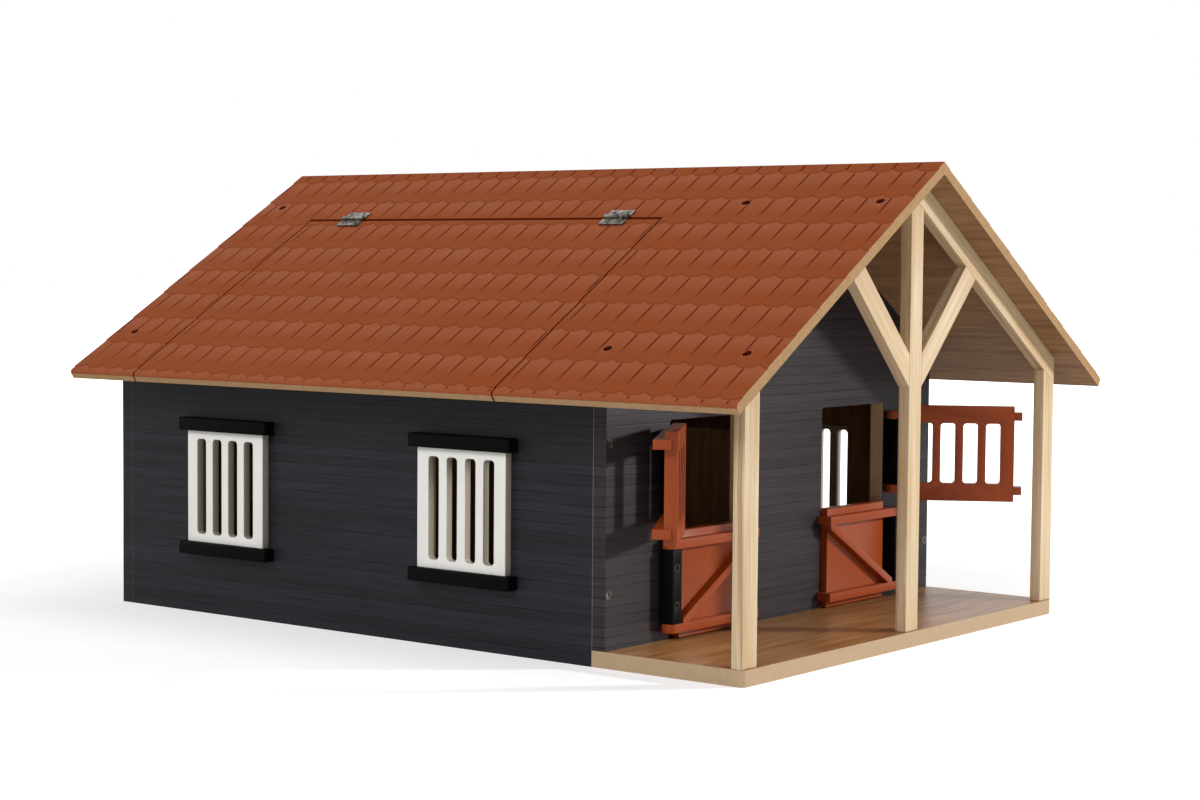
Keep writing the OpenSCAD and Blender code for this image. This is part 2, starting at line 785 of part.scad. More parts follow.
base_plate();
front_wall();
rear_wall();
left_side_wall();
right_side_wall();
stall_partition();
left_roof_panel();
right_roof_panel();
roof_hatch();
on_left() grille(left_windows[0]);  // left_front_grille
on_left() grille(left_windows[1]);  // left_rear_grille
grille(right_windows[0]);  // right_front_grille
grille(right_windows[1]);  // right_rear_grille
on_left() lintel(left_windows[0]);  // left_front_lintel
on_left() lintel(left_windows[1]);  // left_rear_lintel
lintel(right_windows[0]);  // right_front_lintel
lintel(right_windows[1]);  // right_rear_lintel
on_left() sill(left_windows[0]);  // left_front_sill
on_left() sill(left_windows[1]);  // left_rear_sill
sill(right_windows[0]);  // right_front_sill
sill(right_windows[1]);  // right_rear_sill
corner_post(-1);  // left_post
middle_post();
corner_post(1);  // right_post
on_left() rafter();  // left_rafter
rafter();  // right_rafter
on_left() brace();  // left_brace
brace();  // right_brace
hinge_block(-1, lower_z);  // left_lower_block
hinge_block(-1, upper_z);  // left_upper_block
hinge_block(1, lower_z);  // right_lower_block
hinge_block(1, upper_z);  // right_upper_block
left_leaf(lower_z, false, 0);  // left_lower_leaf
left_leaf(upper_z, true, left_open);  // left_upper_leaf
right_leaf(lower_z, false, 0);  // right_lower_leaf
right_leaf(upper_z, true, right_open);  // right_upper_leaf
hinge_pins(-1, lower_z);  // left_lower_pins
hinge_pins(-1, upper_z);  // left_upper_pins
hinge_pins(1, lower_z);  // right_lower_pins
hinge_pins(1, upper_z);  // right_upper_pins
block_screws();
front_wall_screws();
rear_wall_screws();
roof_screws();
base_screws();
left_slope() hinge_leaf(-1, hinge_y[0]);  // front_hinge_fixed_leaf
left_slope() hinge_leaf(-1, hinge_y[1]);  // rear_hinge_fixed_leaf
left_slope() hinge_leaf(1, hinge_y[0]);  // front_hinge_moving_leaf
left_slope() hinge_leaf(1, hinge_y[1]);  // rear_hinge_moving_leaf
hatch_hinge_pins();
hatch_fixed_screws();
hatch_moving_screws();
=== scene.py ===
"""Looks of a toy barn: a plank-printed board house under a pressed-tile roof, with an
open pine porch, grilled windows, a lift-up roof hatch and two split stable doors.

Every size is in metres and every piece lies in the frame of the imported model: +X to the
right of the porch, +Y along the ridge towards the rear wall, +Z up.
"""

import logging
import math
from dataclasses import dataclass, field, replace
from enum import Enum, IntEnum
from typing import Callable

import bmesh
import bpy
import numpy as np
from mathutils import Matrix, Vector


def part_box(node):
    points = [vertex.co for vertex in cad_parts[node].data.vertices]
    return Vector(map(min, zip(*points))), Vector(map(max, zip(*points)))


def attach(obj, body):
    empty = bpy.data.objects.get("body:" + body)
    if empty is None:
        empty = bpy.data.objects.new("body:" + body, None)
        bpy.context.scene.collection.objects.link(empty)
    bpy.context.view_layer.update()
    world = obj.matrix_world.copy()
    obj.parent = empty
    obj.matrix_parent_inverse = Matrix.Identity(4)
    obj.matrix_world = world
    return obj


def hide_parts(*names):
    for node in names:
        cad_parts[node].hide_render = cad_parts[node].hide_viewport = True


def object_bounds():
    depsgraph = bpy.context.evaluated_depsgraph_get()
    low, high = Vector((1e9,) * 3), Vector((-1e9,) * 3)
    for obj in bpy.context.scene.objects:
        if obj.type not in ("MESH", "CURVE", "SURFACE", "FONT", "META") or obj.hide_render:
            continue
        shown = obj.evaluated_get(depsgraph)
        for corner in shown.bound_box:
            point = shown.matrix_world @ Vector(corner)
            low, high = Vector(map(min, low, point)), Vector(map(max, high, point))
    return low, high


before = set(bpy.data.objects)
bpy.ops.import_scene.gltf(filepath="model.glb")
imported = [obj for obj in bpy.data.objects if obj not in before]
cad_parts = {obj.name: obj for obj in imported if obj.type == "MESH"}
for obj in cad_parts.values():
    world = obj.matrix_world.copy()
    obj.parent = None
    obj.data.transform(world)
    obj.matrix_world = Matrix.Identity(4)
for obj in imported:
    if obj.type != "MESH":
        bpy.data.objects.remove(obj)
CAD_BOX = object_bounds()
LOG = logging.getLogger("barn")

MM = 0.001
MERGE = 0.002 * MM
FLAT = math.radians(0.6)
CREASE = math.radians(28)
TILE_CREASE = math.radians(24)
BAR_CREASE = math.radians(40)
Colour = tuple[float, float, float, float]
Array = np.ndarray
Triple = tuple[float, float, float]


def srgb(red: int, green: int, blue: int) -> Colour:
    """Linear colour of an 8-bit display colour.

    Args:
        red: Red from 0 to 255.
        green: Green from 0 to 255.
        blue: Blue from 0 to 255.

    Returns:
        The linear red, green and blue with an alpha of 1.
    """
    shares = [value / 255 for value in (red, green, blue)]
    linear = [v / 12.92 if v <= 0.04045 else ((v + 0.055) / 1.055) ** 2.4 for v in shares]
    return (*linear, 1.0)


class Graph:
    """Short calls that add and link the nodes of one node tree."""

    def __init__(self, tree: bpy.types.NodeTree) -> None:
        """Wraps a node tree."""
        self.tree = tree

    def node(self, kind: str, inputs: dict | None = None, **settings) -> bpy.types.Node:
        """Adds a node.

        Args:
            kind: Blender's name of the node type.
            inputs: Values or sockets by input name or number.
            **settings: Properties of the node.

        Returns:
            The new node.
        """
        made = self.tree.nodes.new(kind)
        for key, value in settings.items():
            setattr(made, key, value)
        for key, value in (inputs or {}).items():
            if isinstance(value, bpy.types.NodeSocket):
                self.tree.links.new(value, made.inputs[key])
            else:
                made.inputs[key].default_value = value
        return made

    def math(self, operation: str, a, b=0.0, c=0.0) -> bpy.types.NodeSocket:
        """Result of a Math node on up to three values or sockets."""
        return self.node("ShaderNodeMath", {0: a, 1: b, 2: c}, operation=operation).outputs[0]

    def times(self, first, second) -> bpy.types.NodeSocket:
        """Product of two values or sockets."""
        return self.math("MULTIPLY", first, second)

    def scaled(self, vector, scale) -> bpy.types.NodeSocket:
        """A vector times a scale for each axis."""
        return self.node("ShaderNodeVectorMath", {0: vector, 1: scale}, operation="MULTIPLY").outputs[0]

    def turned(self, vector, angles: Triple) -> bpy.types.NodeSocket:
        """A vector turned by angles in radians about X, Y and Z."""
        return self.node("ShaderNodeMapping", {"Vector": vector, "Rotation": angles}).outputs[0]

    def noise(self, vector, scale=1.0, detail=2.0, roughness=0.5) -> bpy.types.NodeSocket:
        """Value of a noise texture from 0 to 1."""
        sockets = {"Vector": vector, "Scale": scale, "Detail": detail, "Roughness": roughness}
        return self.node("ShaderNodeTexNoise", sockets).outputs["Fac"]

    def span(self, value, low, high, to_low=0.0, to_high=1.0) -> bpy.types.NodeSocket:
        """A value stretched from one range to another, with its ends held."""
        sockets = {"Value": value, "From Min": low, "From Max": high, "To Min": to_low, "To Max": to_high}
        return self.node("ShaderNodeMapRange", sockets).outputs[0]

    def mix(self, share, first, second) -> bpy.types.NodeSocket:
        """Two colours mixed by a share of the second."""
        return self.node("ShaderNodeMix", {0: share, 6: first, 7: second}, data_type="RGBA").outputs[2]

    def stain(self, mask, share, ground, colour) -> bpy.types.NodeSocket:
        """A ground colour stained with another by a share of a mask."""
        return self.mix(self.times(mask, share), ground, colour)

    def blend(self, first, second, first_share, second_share) -> bpy.types.NodeSocket:
        """Sum of two values, each times its share."""
        return self.math("ADD", self.times(first, first_share), self.times(second, second_share))

    def place(self) -> bpy.types.NodeSocket:
        """The Object coordinates of the surface."""
        return self.node("ShaderNodeTexCoord").outputs["Object"]

    def axis(self, number: int) -> bpy.types.NodeSocket:
        """One of the Object coordinates: 0 for X, 1 for Y and 2 for Z."""
        return self.node("ShaderNodeSeparateXYZ", {0: self.place()}).outputs[number]

    def use(self, effect: "Effect", inputs: dict):
        """Places a shared effect.

        Args:
            effect: The effect.
            inputs: Values or sockets by input name.

        Returns:
            The outputs of the group's node.
        """
        return self.node("ShaderNodeGroup", inputs, node_tree=EFFECTS.get(effect)).outputs

    def give(self, out: bpy.types.Node, sockets: dict) -> bpy.types.NodeTree:
        """Links sockets to an output node by name and returns the tree."""
        for name, socket in sockets.items():
            self.tree.links.new(socket, out.inputs[name])
        return self.tree


def cleared(owner) -> Graph:
    """Graph of a material, world or lamp, with no node left in it."""
    owner.use_nodes = True
    owner.node_tree.nodes.clear()
    return Graph(owner.node_tree)


def add_object(name: str, data) -> bpy.types.Object:
    """Puts a new object that holds some data into the scene."""
    made = bpy.data.objects.new(name, data)
    bpy.context.scene.collection.objects.link(made)
    return made


class Effect(Enum):
    """The shared surface effects, each one node group."""

    GRAIN = "wood_grain"
    PLANKS = "plank_print"
    OAK = "oak_print"
    FIBRE = "fibreboard"
    MOTTLE = "mottle"


class Effects:
    """Builds each shared effect once and hands it out."""

    SOCKETS = {"Vector": "NodeSocketVector", "Colour": "NodeSocketColor", "Value": "NodeSocketFloat"}

    def __init__(self) -> None:
        """Starts with no group built."""
        self.made: dict[Effect, bpy.types.NodeTree] = {}

    def get(self, effect: Effect) -> bpy.types.NodeTree:
        """Node group of an effect, built at its first use."""
        if effect not in self.made:
            builders = {
                Effect.GRAIN: self._grain, Effect.PLANKS: self._planks, Effect.OAK: self._oak,
                Effect.FIBRE: self._fibre, Effect.MOTTLE: self._mottle,
            }
            self.made[effect] = builders[effect]()
        return self.made[effect]

    def _new(self, effect: Effect, inputs: dict[str, str], outputs: dict[str, str]):
        """Empty group with named sockets.

        Args:
            effect: The effect that names the group.
            inputs: Socket kind by input name, as a key of SOCKETS.
            outputs: Socket kind by output name.

        Returns:
            The graph, the input node and the output node.
        """
        tree = bpy.data.node_groups.new(effect.value, "ShaderNodeTree")
        for name, kind in inputs.items():
            tree.interface.new_socket(name=name, in_out="INPUT", socket_type=self.SOCKETS[kind])
        for name, kind in outputs.items():
            tree.interface.new_socket(name=name, in_out="OUTPUT", socket_type=self.SOCKETS[kind])
        graph = Graph(tree)
        return graph, graph.node("NodeGroupInput"), graph.node("NodeGroupOutput")

    def _grain(self) -> bpy.types.NodeTree:
        """Wood grain that runs along the vector's X axis: broad streaks, fine pores and clouds."""
        graph, given, out = self._new(
            Effect.GRAIN,
            {"Vector": "Vector", "Along": "Value", "Across": "Value"},
            {"Streak": "Value", "Pore": "Value", "Cloud": "Value"},
        )
        vector = given.outputs["Vector"]
        along, across = given.outputs["Along"], given.outputs["Across"]
        bend = graph.noise(vector, 14.0, 1.0)
        lift = graph.times(graph.math("SUBTRACT", bend, 0.5), 5 * MM)
        offset = graph.node("ShaderNodeCombineXYZ", {1: lift, 2: lift}).outputs[0]
        shifted = graph.node("ShaderNodeVectorMath", {0: vector, 1: offset}, operation="ADD").outputs[0]
        stretch = graph.node("ShaderNodeCombineXYZ", {0: along, 1: across, 2: across}).outputs[0]
        drawn = graph.scaled(shifted, stretch)
        streak = graph.noise(drawn, 1.0, 3.0, 0.55)
        pore = graph.noise(graph.scaled(drawn, (2.5, 4, 4)), 1.0, 2.0, 0.6)
        return graph.give(out, {
            "Streak": graph.span(streak, 0.3, 0.7),
            "Pore": graph.span(pore, 0.32, 0.68),
            "Cloud": graph.span(bend, 0.3, 0.7),
        })

    def _planks(self) -> bpy.types.NodeTree:
        """Dark plank print: level boards of one pitch, each with its own tone and a dark joint."""
        graph, given, out = self._new(
            Effect.PLANKS,
            {"Vector": "Vector", "Pitch": "Value", "Light": "Colour", "Dark": "Colour", "Joint": "Colour"},
            {"Colour": "Colour", "Height": "Value"},
        )
        vector = given.outputs["Vector"]
        wave = graph.times(graph.math("SUBTRACT", graph.noise(vector, 22.0, 1.0), 0.5), 1.1 * MM)
        level = graph.node("ShaderNodeSeparateXYZ", {0: vector}).outputs[2]
        row = graph.math("DIVIDE", graph.math("ADD", level, wave), given.outputs["Pitch"])
        number = graph.math("FLOOR", row)
        within = graph.math("FRACT", row)
        tone = graph.node("ShaderNodeTexWhiteNoise", {"W": number}, noise_dimensions="1D").outputs["Value"]
        edge = graph.times(graph.math("ABSOLUTE", graph.math("SUBTRACT", within, 0.5)), 2.0)
        joint = graph.span(edge, 0.8, 0.99)
        uneven = graph.noise(graph.scaled(vector, (30, 30, 180)), 1.0, 2.0)
        joint = graph.times(joint, graph.span(uneven, 0.34, 0.6, 0.2, 1.0))
        streak = graph.noise(graph.scaled(vector, (26, 26, 1500)), 1.0, 4.0, 0.6)
        cloud = graph.noise(graph.scaled(vector, (9, 9, 70)), 1.0, 2.0)
        share = graph.blend(tone, streak, 0.18, 0.75)
        share = graph.math("ADD", share, graph.times(cloud, 0.35))
        share = graph.span(share, 0.38, 0.92)
        wood = graph.mix(share, given.outputs["Dark"], given.outputs["Light"])
        rise = graph.math("SUBTRACT", graph.times(streak, 0.3), joint)
        return graph.give(out, {"Colour": graph.mix(joint, wood, given.outputs["Joint"]), "Height": rise})

    def _oak(self) -> bpy.types.NodeTree:
        """Brown oak print whose grain runs along the vector's X axis."""
        graph, given, out = self._new(
            Effect.OAK,
            {"Vector": "Vector", "Light": "Colour", "Dark": "Colour"},
            {"Colour": "Colour", "Height": "Value"},
        )
        grain = graph.use(Effect.GRAIN, {"Vector": given.outputs["Vector"], "Along": 16.0, "Across": 190.0})
        share = graph.blend(grain["Streak"], grain["Cloud"], 0.65, 0.35)
        wood = graph.mix(share, given.outputs["Light"], given.outputs["Dark"])
        pores = graph.times(grain["Pore"], 0.22)
        return graph.give(out, {"Colour": graph.mix(pores, wood, srgb(52, 32, 20)), "Height": grain["Pore"]})

    def _fibre(self) -> bpy.types.NodeTree:
        """Sawn fibreboard: a tan ground with fine pale and dark fibres."""
        graph, given, out = self._new(
            Effect.FIBRE,
            {"Vector": "Vector", "Light": "Colour", "Dark": "Colour"},
            {"Colour": "Colour", "Height": "Value"},
        )
        vector = given.outputs["Vector"]
        fibre = graph.noise(vector, 1700.0, 3.0, 0.65)
        clump = graph.noise(vector, 260.0, 2.0)
        share = graph.blend(fibre, clump, 0.8, 0.2)
        colour = graph.mix(graph.span(share, 0.3, 0.7), given.outputs["Dark"], given.outputs["Light"])
        return graph.give(out, {"Colour": colour, "Height": fibre})

    def _mottle(self) -> bpy.types.NodeTree:
        """Slow clouds and fine specks that keep a plain surface from looking flat."""
        graph, given, out = self._new(
            Effect.MOTTLE,
            {"Vector": "Vector", "Scale": "Value"},
            {"Cloud": "Value", "Speck": "Value"},
        )
        vector = given.outputs["Vector"]
        cloud = graph.noise(vector, given.outputs["Scale"], 3.0)
        fine = graph.times(given.outputs["Scale"], 28.0)
        speck = graph.noise(vector, fine, 2.0, 0.6)
        return graph.give(out, {"Cloud": graph.span(cloud, 0.3, 0.7), "Speck": graph.span(speck, 0.3, 0.7)})


EFFECTS = Effects()


@dataclass(frozen=True)
class Finish:
    """A surface finish: what every finish of the barn has in common."""

    name: str
    roughness: float = 0.5
    sheen_level: float = 0.3
    bump: float = 0.2
    bump_depth: float = 0.1 * MM
    smoother: float = 0.06
    duller: float = 0.08

    def paint(self, graph: Graph):
        """Works out the surface; each kind of finish has its own way.

        Returns:
            Sockets for colour, height and the roughness mask.
        """
        raise NotImplementedError

    def material(self) -> bpy.types.Material:
        """The Blender material of this finish."""
        made = bpy.data.materials.new(self.name)
        graph = cleared(made)
        colour, height, rough = self.paint(graph)
        bump = graph.node(
            "ShaderNodeBump", {"Strength": self.bump, "Distance": self.bump_depth, "Height": height}
        )
        smooth, dull = self.roughness - self.smoother, self.roughness + self.duller
        spread = graph.span(rough, 0.0, 1.0, smooth, dull)
        shader = graph.node(
            "ShaderNodeBsdfPrincipled",
            {"Base Color": colour, "Roughness": spread, "Normal": bump.outputs[0]},
        )
        shader.inputs["Specular IOR Level"].default_value = self.sheen_level
        self.adjust(shader)
        graph.node("ShaderNodeOutputMaterial", {0: shader.outputs[0]})
        return made

    def adjust(self, shader: bpy.types.Node) -> None:
        """Sets plain values on the shader; most finishes need none."""


@dataclass(frozen=True)
class TilePaint(Finish):
    """Red-brown roof paint with painted sheen, paler towards the upper end of each tile, and painted shade,
    dark in the pressed joints and under the butts.
    """

    # Paler colour at the upper end of each tile: painted sheen; the foot colour is the deeper end.
    head_sheen: Colour = srgb(153, 84, 54)
    foot: Colour = srgb(140, 68, 30)
    # Colour of the painted shade in the pressed joints and under the butts.
    cleft_shade: Colour = srgb(92, 26, 4)

    def paint(self, graph: Graph):
        """Colours by the tile attributes, with clouds over the whole slope."""
        # Attributes: share down the course, share of painted shade (kept as depth) and random tile tone.
        down, depth, tone = (
            graph.node("ShaderNodeAttribute", attribute_name=name).outputs["Fac"]
            for name in ("down", "cleft_shade", "tone")
        )
        mottle = graph.use(Effect.MOTTLE, {"Vector": graph.place(), "Scale": 38.0})
        # Painted sheen: paler at the upper end of each course, deeper at its foot.
        ground = graph.mix(graph.span(down, 0.1, 0.62), self.head_sheen, self.foot)
        ground = graph.stain(mottle["Cloud"], 0.2, ground, srgb(150, 76, 38))
        ground = graph.stain(tone, 0.12, ground, srgb(120, 56, 24))
        ground = graph.stain(mottle["Speck"], 0.05, ground, srgb(166, 98, 60))
        # Painted shade in the pressed joints and in a thin line under each butt.
        colour = graph.mix(depth, ground, self.cleft_shade)
        return colour, mottle["Speck"], mottle["Cloud"]


@dataclass(frozen=True)
class Fibreboard(Finish):
    """Bare sawn or routed fibreboard."""

    light: Colour = srgb(212, 186, 148)
    dark: Colour = srgb(176, 146, 104)

    def paint(self, graph: Graph):
        """Fibres over the whole surface."""
        fibre = graph.use(Effect.FIBRE, {"Vector": graph.place(), "Light": self.light, "Dark": self.dark})
        return fibre["Colour"], fibre["Height"], fibre["Height"]


@dataclass(frozen=True)
class OakPrint(Finish):
    """Printed oak on a face, turned so that the grain runs the right way."""

    turn: Triple = (0.0, 0.0, 0.0)
    light: Colour = srgb(160, 122, 84)
    dark: Colour = srgb(112, 78, 48)

    def paint(self, graph: Graph):
        """Oak grain over the whole surface."""
        vector = graph.turned(graph.place(), self.turn)
        oak = graph.use(Effect.OAK, {"Vector": vector, "Light": self.light, "Dark": self.dark})
        return oak["Colour"], oak["Height"], oak["Height"]


@dataclass(frozen=True)
class PrintedBoard(Finish):
    """A board whose printed faces lie in given planes, and whose sawn edges are bare.

    axis is 0 for planes of constant X, 1 for Y and 2 for Z. planks and oak hold the places of
    the faces with the dark plank print and with the oak print.
    """

    axis: int = 0
    planks: tuple[float, ...] = ()
    oak: tuple[float, ...] = ()
    ends: float = 0.0
    raw_line: float = 0.0
    raw_share: float = 0.4
    oak_turn: Triple = (0.0, 0.0, 0.0)
    plank_light: Colour = srgb(45, 42, 49)
    plank_dark: Colour = srgb(19, 18, 22)
    plank_joint: Colour = srgb(10, 9, 11)
    pitch: float = 5.4 * MM
    oak_light: Colour = srgb(160, 122, 84)
    oak_dark: Colour = srgb(112, 78, 48)

    def paint(self, graph: Graph):
        """Mixes bare fibre, oak print and plank print by the plane that a point lies in."""
        slack = 0.06 * MM
        place = graph.place()
        parts = graph.node("ShaderNodeSeparateXYZ", {0: place}).outputs
        fibre = graph.use(
            Effect.FIBRE, {"Vector": place, "Light": srgb(198, 172, 140), "Dark": srgb(174, 146, 112)}
        )
        colour, height = fibre["Colour"], fibre["Height"]
        if self.oak:
            turned = graph.turned(place, self.oak_turn)
            oak = graph.use(Effect.OAK, {"Vector": turned, "Light": self.oak_light, "Dark": self.oak_dark})
            for plane in self.oak:
                mask = graph.math("COMPARE", parts[self.axis], plane, slack)
                colour = graph.mix(mask, colour, oak["Colour"])
        if self.planks:
            foil = graph.use(Effect.PLANKS, {
                "Vector": place, "Pitch": self.pitch, "Light": self.plank_light,
                "Dark": self.plank_dark, "Joint": self.plank_joint,
            })
            cover = 0.0
            for plane in self.planks:
                mask = graph.math("COMPARE", parts[self.axis], plane, slack)
                cover = graph.math("MAXIMUM", cover, mask)
            if self.ends:
                side = graph.math("COMPARE", graph.math("ABSOLUTE", parts[0]), self.ends, slack)
                inset = graph.math("COMPARE", parts[1], self.raw_line, 0.35 * MM)
                inset = graph.times(inset, self.raw_share)
                side = graph.times(side, graph.math("SUBTRACT", 1.0, inset))
                cover = graph.math("MAXIMUM", cover, side)
            colour = graph.mix(cover, colour, foil["Colour"])
            height = graph.node(
                "ShaderNodeMix", {0: cover, 2: height, 3: foil["Height"]}, data_type="FLOAT"
            ).outputs[0]
        return colour, height, height


@dataclass(frozen=True)
class Pine(Finish):
    """Planed pine with soft yellow grain, turned along its stick."""

    turn: Triple = (0.0, 0.0, 0.0)
    pale: Colour = srgb(231, 213, 183)
    warm: Colour = srgb(199, 166, 119)

    def paint(self, graph: Graph):
        """Growth rings as bands across the stick, with fine lines along it."""
        vector = graph.turned(graph.place(), self.turn)
        grain = graph.use(Effect.GRAIN, {"Vector": vector, "Along": 9.0, "Across": 260.0})
        share = graph.blend(grain["Streak"], grain["Cloud"], 0.7, 0.2)
        colour = graph.mix(share, self.pale, self.warm)
        colour = graph.stain(grain["Pore"], 0.2, colour, srgb(150, 108, 62))
        facing = graph.node("ShaderNodeSeparateXYZ", {0: graph.node("ShaderNodeTexCoord").outputs["Normal"]})
        # Darker streaks only on faces that do not face along Y.
        sawn = graph.span(graph.math("ABSOLUTE", facing.outputs[1]), 0.5, 0.8, 1.0, 0.0)
        heart = graph.use(Effect.GRAIN, {"Vector": vector, "Along": 5.0, "Across": 420.0})
        streak = graph.times(graph.span(heart["Streak"], 0.5, 0.95), sawn)
        colour = graph.stain(streak, 0.55, colour, srgb(138, 96, 50))
        return colour, grain["Pore"], grain["Streak"]


@dataclass(frozen=True)
class Moulded(Finish):
    """Moulded plastic or sprayed board of one colour with slight clouds."""

    body: Colour = srgb(200, 200, 200)
    cloud: Colour = srgb(210, 210, 210)
    scale: float = 45.0
    coat: float = 0.0

    def paint(self, graph: Graph):
        """Clouds and specks in the base colour."""
        mottle = graph.use(Effect.MOTTLE, {"Vector": graph.place(), "Scale": self.scale})
        colour = graph.stain(mottle["Cloud"], 0.6, self.body, self.cloud)
        return colour, mottle["Speck"], mottle["Cloud"]

    def adjust(self, shader: bpy.types.Node) -> None:
        """Adds the clear skin of glossy plastic."""
        shader.inputs["Coat Weight"].default_value = self.coat
        shader.inputs["Coat Roughness"].default_value = 0.25


@dataclass(frozen=True)
class FacedPanel(Finish):
    """A panel with a white outer face and taupe sawn edges and back; the taupe is dark enough to also paint
    the shade on the sides of the slots.
    """

    plane: float = 0.0
    face: Colour = srgb(244, 242, 237)
    edge: Colour = srgb(182, 172, 158)

    def paint(self, graph: Graph):
        """White beyond the plane, taupe behind it as bare edges and painted shade in the slots, with slight
        clouds on both.
        """
        mottle = graph.use(Effect.MOTTLE, {"Vector": graph.place(), "Scale": 60.0})
        outer = graph.math("GREATER_THAN", graph.math("ABSOLUTE", graph.axis(0)), self.plane)
        clouds = graph.times(mottle["Cloud"], 0.25)
        white = graph.mix(clouds, self.face, srgb(232, 229, 222))
        # Taupe for the bare edges, dark enough to also paint the shade on the slot sides.
        taupe = graph.mix(mottle["Speck"], self.edge, srgb(164, 152, 136))
        return graph.mix(outer, taupe, white), mottle["Speck"], mottle["Cloud"]


@dataclass(frozen=True)
class Steel(Finish):
    """Zinc-plated steel with a faint drawn texture."""

    body: Colour = srgb(186, 184, 178)
    dull: Colour = srgb(120, 118, 112)
    scale: float = 420.0

    def paint(self, graph: Graph):
        """Clouds of dull plating and fine scratches; the darker clouds also paint dark reflections and shade
        on the metal.
        """
        mottle = graph.use(Effect.MOTTLE, {"Vector": graph.place(), "Scale": self.scale})
        colour = graph.mix(mottle["Cloud"], self.body, self.dull)
        return colour, mottle["Speck"], mottle["Cloud"]

    def adjust(self, shader: bpy.types.Node) -> None:
        """Makes the surface metal."""
        shader.inputs["Metallic"].default_value = 1.0


def new_piece(name: str, points: Array, faces: list, materials: list, body: str):
    """Makes a mesh object that rides on a body.

    Args:
        name: The piece's name.
        points: Vertices as rows of x, y and z in metres.
        faces: Vertex numbers of each face, outward.
        materials: Materials in slot order.
        body: The body that the piece moves with.

    Returns:
        The new object.
    """
    mesh = bpy.data.meshes.new(name)
    mesh.from_pydata(points.tolist(), [], faces)
    mesh.validate()
    for material in materials:
        mesh.materials.append(material)
    made = add_object(name, mesh)
    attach(made, body)
    return made


def smooth_faces(piece: bpy.types.Object, angle: float = math.radians(32)) -> None:
    """Shades a piece smoothly, with creases where faces meet at more than an angle."""
    mesh = piece.data
    mesh.polygons.foreach_set("use_smooth", np.ones(len(mesh.polygons), bool))
    mesh.set_sharp_from_angle(angle=angle)


def eased_copy(node: str, name: str, width: float, material, body: str, steps: int = 3):
    """A copy of a CAD node with its sharp edges rounded.

    Args:
        node: The CAD node, which the copy then replaces.
        name: Name of the new piece.
        width: Width of the rounding.
        material: The piece's material.
        body: The body that it moves with.
        steps: Faces across each rounding.

    Returns:
        The new object.
    """
    shape = bmesh.new()
    shape.from_mesh(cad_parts[node].data)
    bmesh.ops.remove_doubles(shape, verts=shape.verts, dist=MERGE)
    bmesh.ops.dissolve_limit(
        shape, angle_limit=FLAT, verts=shape.verts, edges=shape.edges, use_dissolve_boundaries=False
    )
    bmesh.ops.recalc_face_normals(shape, faces=shape.faces)
    edges = [e for e in shape.edges if len(e.link_faces) == 2 and e.calc_face_angle(0.0) > CREASE]
    bmesh.ops.bevel(
        shape, geom=edges, offset=width, offset_type="OFFSET", segments=steps, profile=0.5,
        affect="EDGES", clamp_overlap=True,
    )
    mesh = bpy.data.meshes.new(name)
    shape.to_mesh(mesh)
    shape.free()
    mesh.materials.clear()
    mesh.materials.append(material)
    made = add_object(name, mesh)
    smooth_faces(made)
    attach(made, body)
    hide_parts(node)
    return made


class Board(IntEnum):
    """Material slots of a roof board."""

    PAINT = 0
    FIBRE = 1
    PRINT = 2
    SEAM = 3


@dataclass(frozen=True)
class RoofSizes:
    """Sizes of the roof boards and of their pressed tile pattern."""

    pitch: float = math.radians(32.3)
    slope: float = 239 * MM
    thick: float = 6 * MM
    eave_round: float = 2 * MM
    first_course: float = 9.5 * MM
    course: float = 28.1 * MM
    step: float = 0.45 * MM
    tile: float = 15.52 * MM
    tile_phase: float = 2.5 * MM
    scallop: float = 3.3 * MM
    scallop_power: float = 2.2
    joint_half: float = 0.82 * MM
    joint_depth: float = 0.6 * MM
    joint_start: float = 0.9 * MM
    joint_end: float = 21.5 * MM
    joint_ramp: float = 0.4 * MM
    ridge_joint_start: float = -0.4 * MM
    ridge_joint_end: float = 8.6 * MM
    line_gap: float = 0.12 * MM
    butt_run: float = 0.45 * MM
    joint_fade: float = 2.4
    # Strength of the painted shade in the joints and under the butts, and its limit.
    joint_shade: float = 2.6
    butt_shade: float = 0.25
    most_shade: float = 0.95
    hatch_seam: float = 59.3 * MM
    hatch_top_half: float = 1.3 * MM
    hatch_side_half: float = 0.6 * MM
    hatch_low: float = -93 * MM
    hatch_high: float = 194 * MM
    screw_up: float = 42 * MM
    screw_down: float = 194 * MM
    screw_seat: float = 2.6 * MM
    screw_sink: float = 3.1 * MM
    screw_y: tuple[float, ...] = (-232.5 * MM, -142.5 * MM, 235.5 * MM)


